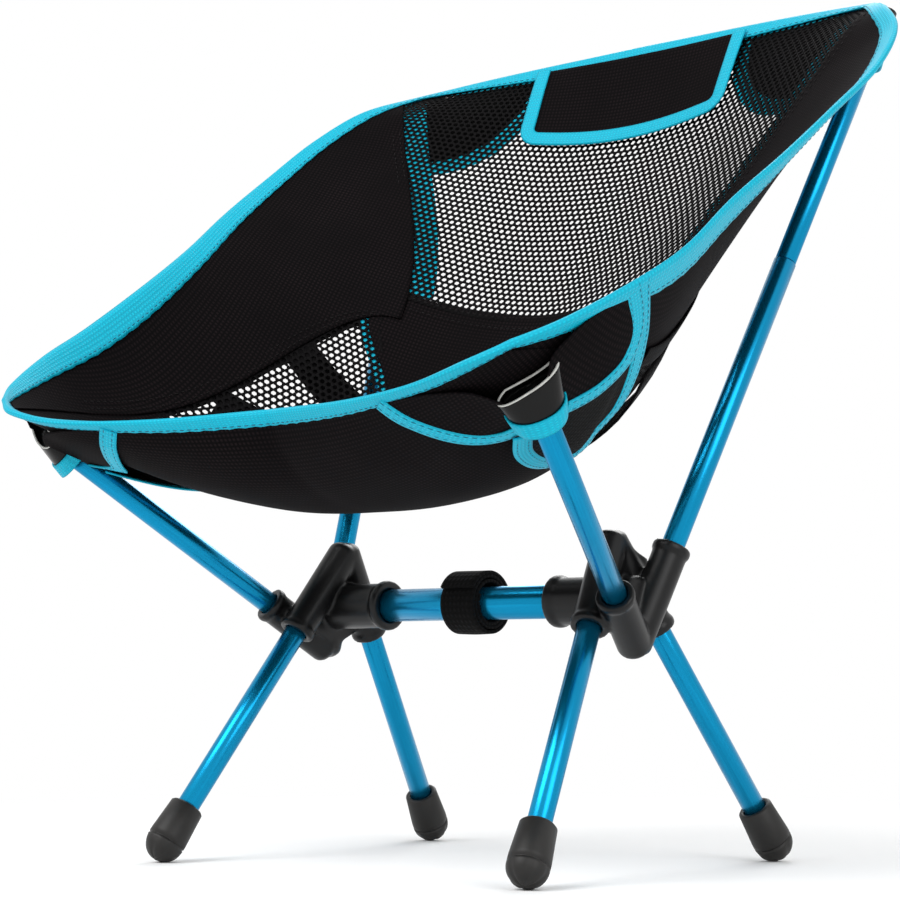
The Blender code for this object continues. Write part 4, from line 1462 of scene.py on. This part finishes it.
        def around(share: Array) -> tuple[Array, Array, Array]:
            tall = (self.label_top - self.label_low) * SLING.length - self.label_tape / 2
            bend = self.label_bend
            turns = np.linspace(math.pi, 1.5 * math.pi, self.bend_points)
            left = [(-inner + bend * (1 + math.cos(turn)), bend * (1 + math.sin(turn))) for turn in turns]
            right = [(-x, y) for x, y in reversed(left)]
            runs = np.array([(-inner, tall), *left, *right, (inner, tall)])
            steps = run_lengths(runs)
            x, y = (np.interp(share * steps[-1], steps, runs[:, axis]) for axis in (0, 1))
            v = foot + y / SLING.length
            return x / SLING.half_width(v), v, np.full_like(v, -self.over - self.label_tape_lift)

        panel = Panel("label_panel_sewn", shares, lift=-self.over, columns=50, rows=20)
        panel.sewn(POLYESTER, "black_woven_polyester", ["label_panel"])
        tape = TapeRun("label_binding_sewn", around, self.label_tape, self.label_tape_thickness, along=220)
        tape.build(TAPE, "cyan_binding_tape", ["label_binding"])

    def seat_strap(self, side: Side) -> None:
        """Sews one load strap under the seat mesh; the right one crosses over the left."""
        rise = self.strap_rise + (self.strap_cross if side is Side.RIGHT else 0.0)

        def line(share: Array) -> tuple[Array, Array, Array]:
            u, v = (np.interp(share, (0, 1), ends) for ends in zip(self.strap_front, self.strap_back))
            slack = self.strap_slack * (1 - share) * share**2
            off_ends = np.clip(np.minimum(share, 1 - share) * self.strap_end_rate, 0, 1)
            return side.value * u, v - slack, self.strap_lift + rise * off_ends

        name = f"seat_strap_{side.word}"
        edges = (beside(line, offset * self.strap_width) for offset in (-0.5, 0.5))
        strap = ClothBetween(f"{name}_sewn", *edges, self.strap_thickness, cut_width=self.strap_width)
        strap.sewn(WEBBING, "black_webbing", [name])

    def stitching(self) -> None:
        """Sews the lines of thread that show on the inside face and on the binding."""

        def wing_line(side: Side, inset: float) -> Line:
            def line(share: Array) -> tuple[Array, Array, Array]:
                low, high = self.wing_stitches
                v = low + (high - low) * share
                u = SLING.seam(v) + SLING.u_share(inset, v)
                lift = Face.INSIDE.value * (self.wing_thread - self.soft_wrinkle * creases(u, v))
                return side.value * u, v, lift

            return line

        def band_line(v_at: float) -> Line:
            def line(share: Array) -> tuple[Array, Array, Array]:
                v = np.full_like(share, v_at)
                u = (2 * share - 1) * SLING.seam(v) * self.lumbar_reach
                return u, v, np.full_like(v, Face.INSIDE.value * self.lumbar_thread)

            return line

        def rim_line(face: Face) -> Line:
            rim = RimBinding()

            def line(share: Array) -> tuple[Array, Array, Array]:
                u, v = rim.loop(share, rim.reach(share, np.full_like(share, face.value)) * self.rim_row)
                return u, v, np.full_like(v, face.value * self.rim_thread)

            return line

        for side in Side:
            for row, inset in enumerate(self.wing_rows):
                Stitches(f"wing_stitches_{side.word}_{row}", wing_line(side, inset)).build()
        for row, below in enumerate(self.lumbar_rows):
            Stitches(f"lumbar_stitches_{row}", band_line(SLING.lumbar_high - below)).build()
        for face in Face:
            Stitches(f"rim_stitches_{face.name.lower()}", rim_line(face), BLUE_THREAD).build()


@dataclass
class Skin:
    """The sling as close-set points with their directions out, to keep other pieces clear of it."""

    steps: int = 161

    def __post_init__(self) -> None:
        """Lays the points out and files them by place."""
        u, v = np.meshgrid(np.linspace(-1, 1, self.steps), np.linspace(0, 1, self.steps))
        self.spots = SLING.points(u, v)
        self.outward = SLING.normals(u.ravel(), v.ravel())
        self.tree = KDTree(len(self.spots))
        for index, spot in enumerate(self.spots):
            self.tree.insert(spot, index)
        self.tree.balance()

    def nearest(self, spots: Sequence[Array]) -> list[int]:
        """Numbers of the skin's points that lie nearest to given points."""
        return [self.tree.find(spot)[1] for spot in spots]

    def clear_of(self, spots: Array, distance: float) -> Array:
        """Moves points out to a distance off the sling where they lie nearer to it or inside it."""
        under = self.nearest(spots)
        lift = np.sum((spots - self.spots[under]) * self.outward[under], axis=1)
        return spots + np.maximum(distance - lift, 0.0)[:, None] * self.outward[under]


@dataclass
class Pockets:
    """The corner pockets that hold the sling on the uprights: vinyl sleeves, flaps and their taped edges."""

    steps: int = 48
    sleeve_rows: int = 14
    wall: float = 0.9 * MM
    clear_of_sling: float = 3.2 * MM
    mouth_half: float = 10.6 * MM
    top_deep: float = 4.8 * MM
    top_half: dict[End, float] = field(default_factory=lambda: {End.FRONT: 14.0 * MM, End.REAR: 9.0 * MM})
    flare_power: float = 0.8
    round_power: float = 0.85
    lean: dict[End, float] = field(default_factory=lambda: {End.FRONT: 7.0 * MM, End.REAR: 0.0})
    lean_from: float = 0.3
    spans: dict[End, tuple[float, float]] = field(
        default_factory=lambda: {End.FRONT: (0.46, 1.2), End.REAR: (0.0, 1.0)}
    )
    lid: dict[End, float] = field(default_factory=lambda: {End.FRONT: 0.85, End.REAR: 0.995})
    lid_rows: int = 6
    lid_closed: float = 0.98
    lid_crown: float = 1.5 * MM
    ring_width: float = 7.0 * MM
    ring_low: float = -0.02
    ring_off: float = 1.0 * MM
    ring_rows: int = 5
    cut_edge: tuple[float, float] = (0.985, 1.02)
    cut_edge_off: float = 0.1 * MM
    tape: float = 8.5 * MM
    tape_thickness: float = 0.9 * MM
    tape_steps: int = 140
    stitch_rows: tuple[float, float] = (-0.28, 0.28)
    stitch_thread: float = 0.4 * MM
    skin: Skin = field(default_factory=Skin)

    def build(self) -> None:
        """Makes the four sleeves and the flaps of the two front corners."""
        for side in Side:
            for end in End:
                self.sleeve(side, end)
            self.flaps(side)

    def sleeve(self, side: Side, end: End) -> None:
        """Sews one vinyl sleeve round its upright's tip, with a taped mouth and, at the front, a cut edge."""
        name = f"{end.value}_pocket_sleeve_{side.word}"
        mouth, top, _, _ = axis_of(name)
        up = np.array((top - mouth).normalized())
        tall = (top - mouth).length
        out = self.skin.outward[self.skin.nearest([top])[0]].copy()
        out -= up * (out @ up)
        out /= np.linalg.norm(out)
        across = np.cross(up, out)
        top_half = self.top_half[end]
        low_at, high_at = self.spans[end]

        def place(x: Array, t: Array, off: float = 0.0) -> Array:
            turn = 2 * math.pi * x
            run = np.maximum(t, 0.0)
            wide = self.mouth_half + (top_half - self.mouth_half) * run**self.flare_power + off
            deep = self.mouth_half + (self.top_deep - self.mouth_half) * run + off
            lean = self.lean[end] * np.cos(turn) * side.value * np.clip(t - self.lean_from, 0, 1)
            round_x = np.sign(np.cos(turn)) * np.abs(np.cos(turn)) ** self.round_power
            height = low_at + (high_at - low_at) * t
            spots = np.outer(height * tall + lean, up) + np.outer(wide * round_x, across)
            spots += np.array(mouth) + np.outer(deep * np.sin(turn), out)
            return self.skin.clear_of(spots, self.clear_of_sling - off) if end is End.FRONT else spots

        def around(
            stem: str,
            finish: Finish,
            slot: str | None,
            span: tuple[float, float],
            off: float,
            rows: int,
        ) -> None:
            low, high = span

            def flat(x: Array, y: Array) -> tuple[Array, Array]:
                return x * 2 * math.pi * self.mouth_half, y * (high - low) * tall

            shape = flat_grid(self.steps, rows)
            lay(shape, lambda x, y: place(x, low + (high - low) * y, off), flat)
            bmesh.ops.remove_doubles(shape, verts=shape.verts[:], dist=WELD)
            area = cloth_area(shape)
            piece = finished(stem, shape, finish, "frame", [name] if finish is VINYL else [])
            if finish is not CUT_EDGE:
                declare_sheet(piece)
            thicken(piece, self.wall)

        word = f"{end.value}_{side.word}"
        around(f"{name}_vinyl", VINYL, "black_vinyl", (0.0, 1.0), 0.0, self.sleeve_rows)
        ring = (self.ring_low, self.ring_width / tall / (high_at - low_at))
        around(f"mouth_tape_{word}", TAPE, "cyan_binding_tape", ring, self.ring_off, self.ring_rows)
        if end is End.FRONT:
            around(f"sleeve_cut_edge_{word}", CUT_EDGE, None, self.cut_edge, self.cut_edge_off, 1)
        rim = self.lid[end]
        core = np.array(mouth) + up * tall * (low_at + (high_at - low_at) * rim)

        def close(x: Array, y: Array) -> Array:
            ring = place(x, np.full_like(x, rim))
            inward = (1 - self.lid_closed * y)[:, None]
            return core + (ring - core) * inward + np.outer(y, up) * self.lid_crown

        lid = flat_grid(self.steps, self.lid_rows)
        lay(lid, close, lambda x, y: (x * 2 * math.pi * top_half, y * top_half))
        bmesh.ops.remove_doubles(lid, verts=lid.verts[:], dist=WELD)
        thicken(finished(f"sleeve_end_{word}", lid, VINYL, "frame"), self.wall)

    def flaps(self, side: Side) -> None:
        """Sews the flaps, the pile gusset and the taped edges of one front corner."""
        word = side.word
        front_edge = through(
            side,
            (0.515, 0.012, 1.2), (0.56, 0.066, 2.5), (0.605, 0.108, 4.0),
            (0.645, 0.122, 6.0), (0.70, 0.123, 9.5),
        )
        front_rim = through(
            side,
            (0.515, 0.012, 1.0), (0.62, 0.016, 1.2), (0.70, 0.024, 2.0),
            (0.76, 0.045, 4.0), (0.775, 0.075, 9.0),
        )
        side_edge = through(
            side,
            (0.985, 0.160, 0.6), (0.90, 0.205, 2.5), (0.845, 0.21, 5.0),
            (0.80, 0.185, 7.5), (0.77, 0.150, 10.0),
        )
        side_rim = through(
            side,
            (0.975, 0.160, 1.0), (0.972, 0.12, 1.2), (0.955, 0.095, 2.5),
            (0.90, 0.085, 5.0), (0.865, 0.09, 9.0),
        )
        gusset_edge = through(
            side,
            (0.985, 0.175, 0.6), (0.865, 0.228, 2.5), (0.715, 0.262, 3.0), (0.62, 0.255, 3.0),
            (0.55, 0.262, 3.2), (0.545, 0.222, 3.8), (0.60, 0.168, 6.5), (0.68, 0.133, 9.5),
        )
        for stem, edge, rim in (("front", front_edge, front_rim), ("side", side_edge, side_rim)):
            node = f"{stem}_pocket_flap_{word}"
            ClothBetween(f"{node}_sewn", edge, rim).sewn(POLYESTER, "black_woven_polyester", [node])
        ClothBetween(f"pocket_gusset_{word}", side_edge, gusset_edge).sewn(LOOP_TAPE, "black_mesh")
        for stem, line in (("front_flap", front_edge), ("side_flap", side_edge), ("gusset", gusset_edge)):
            tape = TapeRun(f"{stem}_tape_{word}", line, self.tape, self.tape_thickness, self.tape_steps)
            tape.build(TAPE, "cyan_binding_tape")
            for row, share in enumerate(self.stitch_rows):
                sewn_line = beside(line, share * self.tape)
                stitches = Stitches(f"{stem}_tape_stitches_{word}_{row}", sewn_line, BLUE_THREAD)
                stitches.thread = self.stitch_thread
                stitches.build()


@dataclass
class InnerPieces:
    """What the tubes hold: elastic cords with their knots, section ferrules and tip plugs."""

    steps: int = 16
    thin: float = 1.3 * MM
    knot: float = 2.8 * MM
    knot_points: int = 9
    knot_turn: float = 0.85
    knot_end: float = 2.2

    def build(self) -> None:
        """Makes the cords and dresses the ferrules and plugs."""
        for name, node in frame["nodes"].items():
            if "cord" in name:
                self.cord(name)
            elif "ferrule" in name or "tip_plug" in name:
                finish = BARE_METAL if "ferrule" in name else NYLON
                node.data.materials.clear()
                node.data.materials.append(finish.material())

    def cord(self, name: str) -> None:
        """Turns one cord with a knot at each end."""
        start, end, _, _ = axis_of(name)
        length = (end - start).length
        turns = np.linspace(0, math.pi * self.knot_turn, self.knot_points)
        knot = [(self.knot * math.sin(turn), self.knot * (1 - math.cos(turn))) for turn in turns]
        lower = [*knot, (self.thin, self.knot_end * self.knot)]
        profile = [*lower, *[(radius, length - height) for radius, height in reversed(lower)]]
        profile[0] = (0.0, 0.0)
        profile[-1] = (0.0, length)
        shape = spun(profile, self.steps)
        stand(shape, start, (end - start).normalized())
        if "_leg_cord_" in name:
            piece = finished(f"{name}_braided", shape, CORD, None, [name])
            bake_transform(piece)
        else:
            finished(f"{name}_braided", shape, CORD, "frame", [name])


@dataclass(frozen=True)
class Floor:
    """The pale floor, which keeps the soft shadows and fades to white."""

    radius: float = 6.0
    segments: int = 96
    below: float = 0.2 * MM
    shade: tuple[float, float, float, float] = (0.97, 0.97, 0.97, 1.0)
    fade_scale: float = 1.6
    fade_gain: float = 4.0

    def build(self) -> None:
        """Lays the floor."""
        shape = bmesh.new()
        bmesh.ops.create_circle(shape, cap_ends=True, segments=self.segments, radius=self.radius)
        mesh = bpy.data.meshes.new("floor")
        shape.to_mesh(mesh)
        shape.free()
        floor = bpy.data.objects.new("floor", mesh)
        floor.location.z = -self.below
        bpy.context.scene.collection.objects.link(floor)
        mesh.materials.append(self.material())

    def material(self) -> bpy.types.Material:
        """Matt by the chair, and plain white further off."""
        material = bpy.data.materials.new("pale_floor")
        material.use_nodes = True
        tree = material.node_tree
        tree.nodes.clear()
        place = add_node(tree, "ShaderNodeTexCoord").outputs["Object"]
        scale = (self.fade_scale, self.fade_scale, self.fade_scale)
        ball = add_node(tree, "ShaderNodeMapping", {"Vector": place, "Scale": scale}).outputs["Vector"]
        fade = add_node(tree, "ShaderNodeTexGradient", {"Vector": ball}, gradient_type="QUADRATIC_SPHERE")
        near = worked_out(tree, "MULTIPLY", fade.outputs["Fac"], self.fade_gain, clamp=True)
        matt = add_node(tree, "ShaderNodeBsdfDiffuse", {"Color": self.shade})
        white = add_node(tree, "ShaderNodeEmission", {"Color": WHITE, "Strength": 1.0})
        blend = add_node(tree, "ShaderNodeMixShader", {0: near, 1: white.outputs[0], 2: matt.outputs[0]})
        add_node(tree, "ShaderNodeOutputMaterial", {"Surface": blend.outputs[0]})
        return material


@dataclass(frozen=True)
class Studio:
    """A white surround and soft lamps, each with its name, place, size and power."""

    surround: float = 0.72
    target: tuple[float, float, float] = (0.0, 0.0, 0.22)
    lamps: tuple[tuple[str, tuple[float, float, float], float, float], ...] = (
        ("key", (-0.3, -1.3, 1.5), 1.1, 20.0),
        ("fill", (1.6, -0.5, 0.9), 1.0, 9.0),
        ("back", (-0.6, 1.4, 1.3), 1.0, 12.0),
    )

    def build(self) -> None:
        """Lights the scene."""
        scene = bpy.context.scene
        scene.view_settings.view_transform = "Standard"
        scene.world = self.world()
        for name, spot, size, power in self.lamps:
            light = bpy.data.lights.new(name, "AREA")
            light.size = size
            light.energy = power
            lamp = bpy.data.objects.new(name, light)
            lamp.location = spot
            aim = Vector(self.target) - Vector(spot)
            lamp.rotation_euler = aim.to_track_quat("-Z", "Y").to_euler()
            scene.collection.objects.link(lamp)

    def world(self) -> bpy.types.World:
        """White where it is seen or mirrored, and dimmer where it lights matt surfaces."""
        world = bpy.data.worlds.new("studio")
        world.use_nodes = True
        tree = world.node_tree
        tree.nodes.clear()
        path = add_node(tree, "ShaderNodeLightPath").outputs
        seen = worked_out(tree, "MAXIMUM", path["Is Camera Ray"], path["Is Glossy Ray"])
        seen = worked_out(tree, "MAXIMUM", seen, path["Is Transmission Ray"])
        dim, white = (
            add_node(tree, "ShaderNodeBackground", {"Color": WHITE, "Strength": strength})
            for strength in (self.surround, 1.0)
        )
        both = add_node(tree, "ShaderNodeMixShader", {0: seen, 1: dim.outputs[0], 2: white.outputs[0]})
        add_node(tree, "ShaderNodeOutputWorld", {"Surface": both.outputs[0]})
        return world


@dataclass(frozen=True)
class PhotoCamera:
    """The photograph's camera, which stands low by the front right corner and looks up a little."""

    place: tuple[float, float, float] = (0.73249, -0.86898, 0.09102)
    azimuth: float = 40.27
    rise: float = 5.35
    lens: float = 94.38
    sensor: float = 36.0
    clip_start: float = 0.05

    def build(self) -> None:
        """Makes the camera and gives it to the scene."""
        data = bpy.data.cameras.new("photo_camera")
        data.lens = self.lens
        data.sensor_width = self.sensor
        data.clip_start = self.clip_start
        camera = bpy.data.objects.new("photo_camera", data)
        turn, rise = math.radians(self.azimuth), math.radians(self.rise)
        ahead = Vector((-math.sin(turn) * math.cos(rise), math.cos(turn) * math.cos(rise), math.sin(rise)))
        camera.location = self.place
        camera.rotation_euler = ahead.to_track_quat("-Z", "Y").to_euler()
        bpy.context.scene.collection.objects.link(camera)
        bpy.context.scene.camera = camera


def main() -> None:
    """Builds the chair's pieces in order, then the camera and the stage."""
    logging.basicConfig(level=logging.INFO, format="%(message)s")
    Tubes().build()
    Feet().build()
    Hubs().build()
    WoundStrap().build()
    InnerPieces().build()
    Sling().build()
    Pockets().build()
    PhotoCamera().build()
    Floor().build()
    Studio().build()


if __name__ == "__main__":
    main()
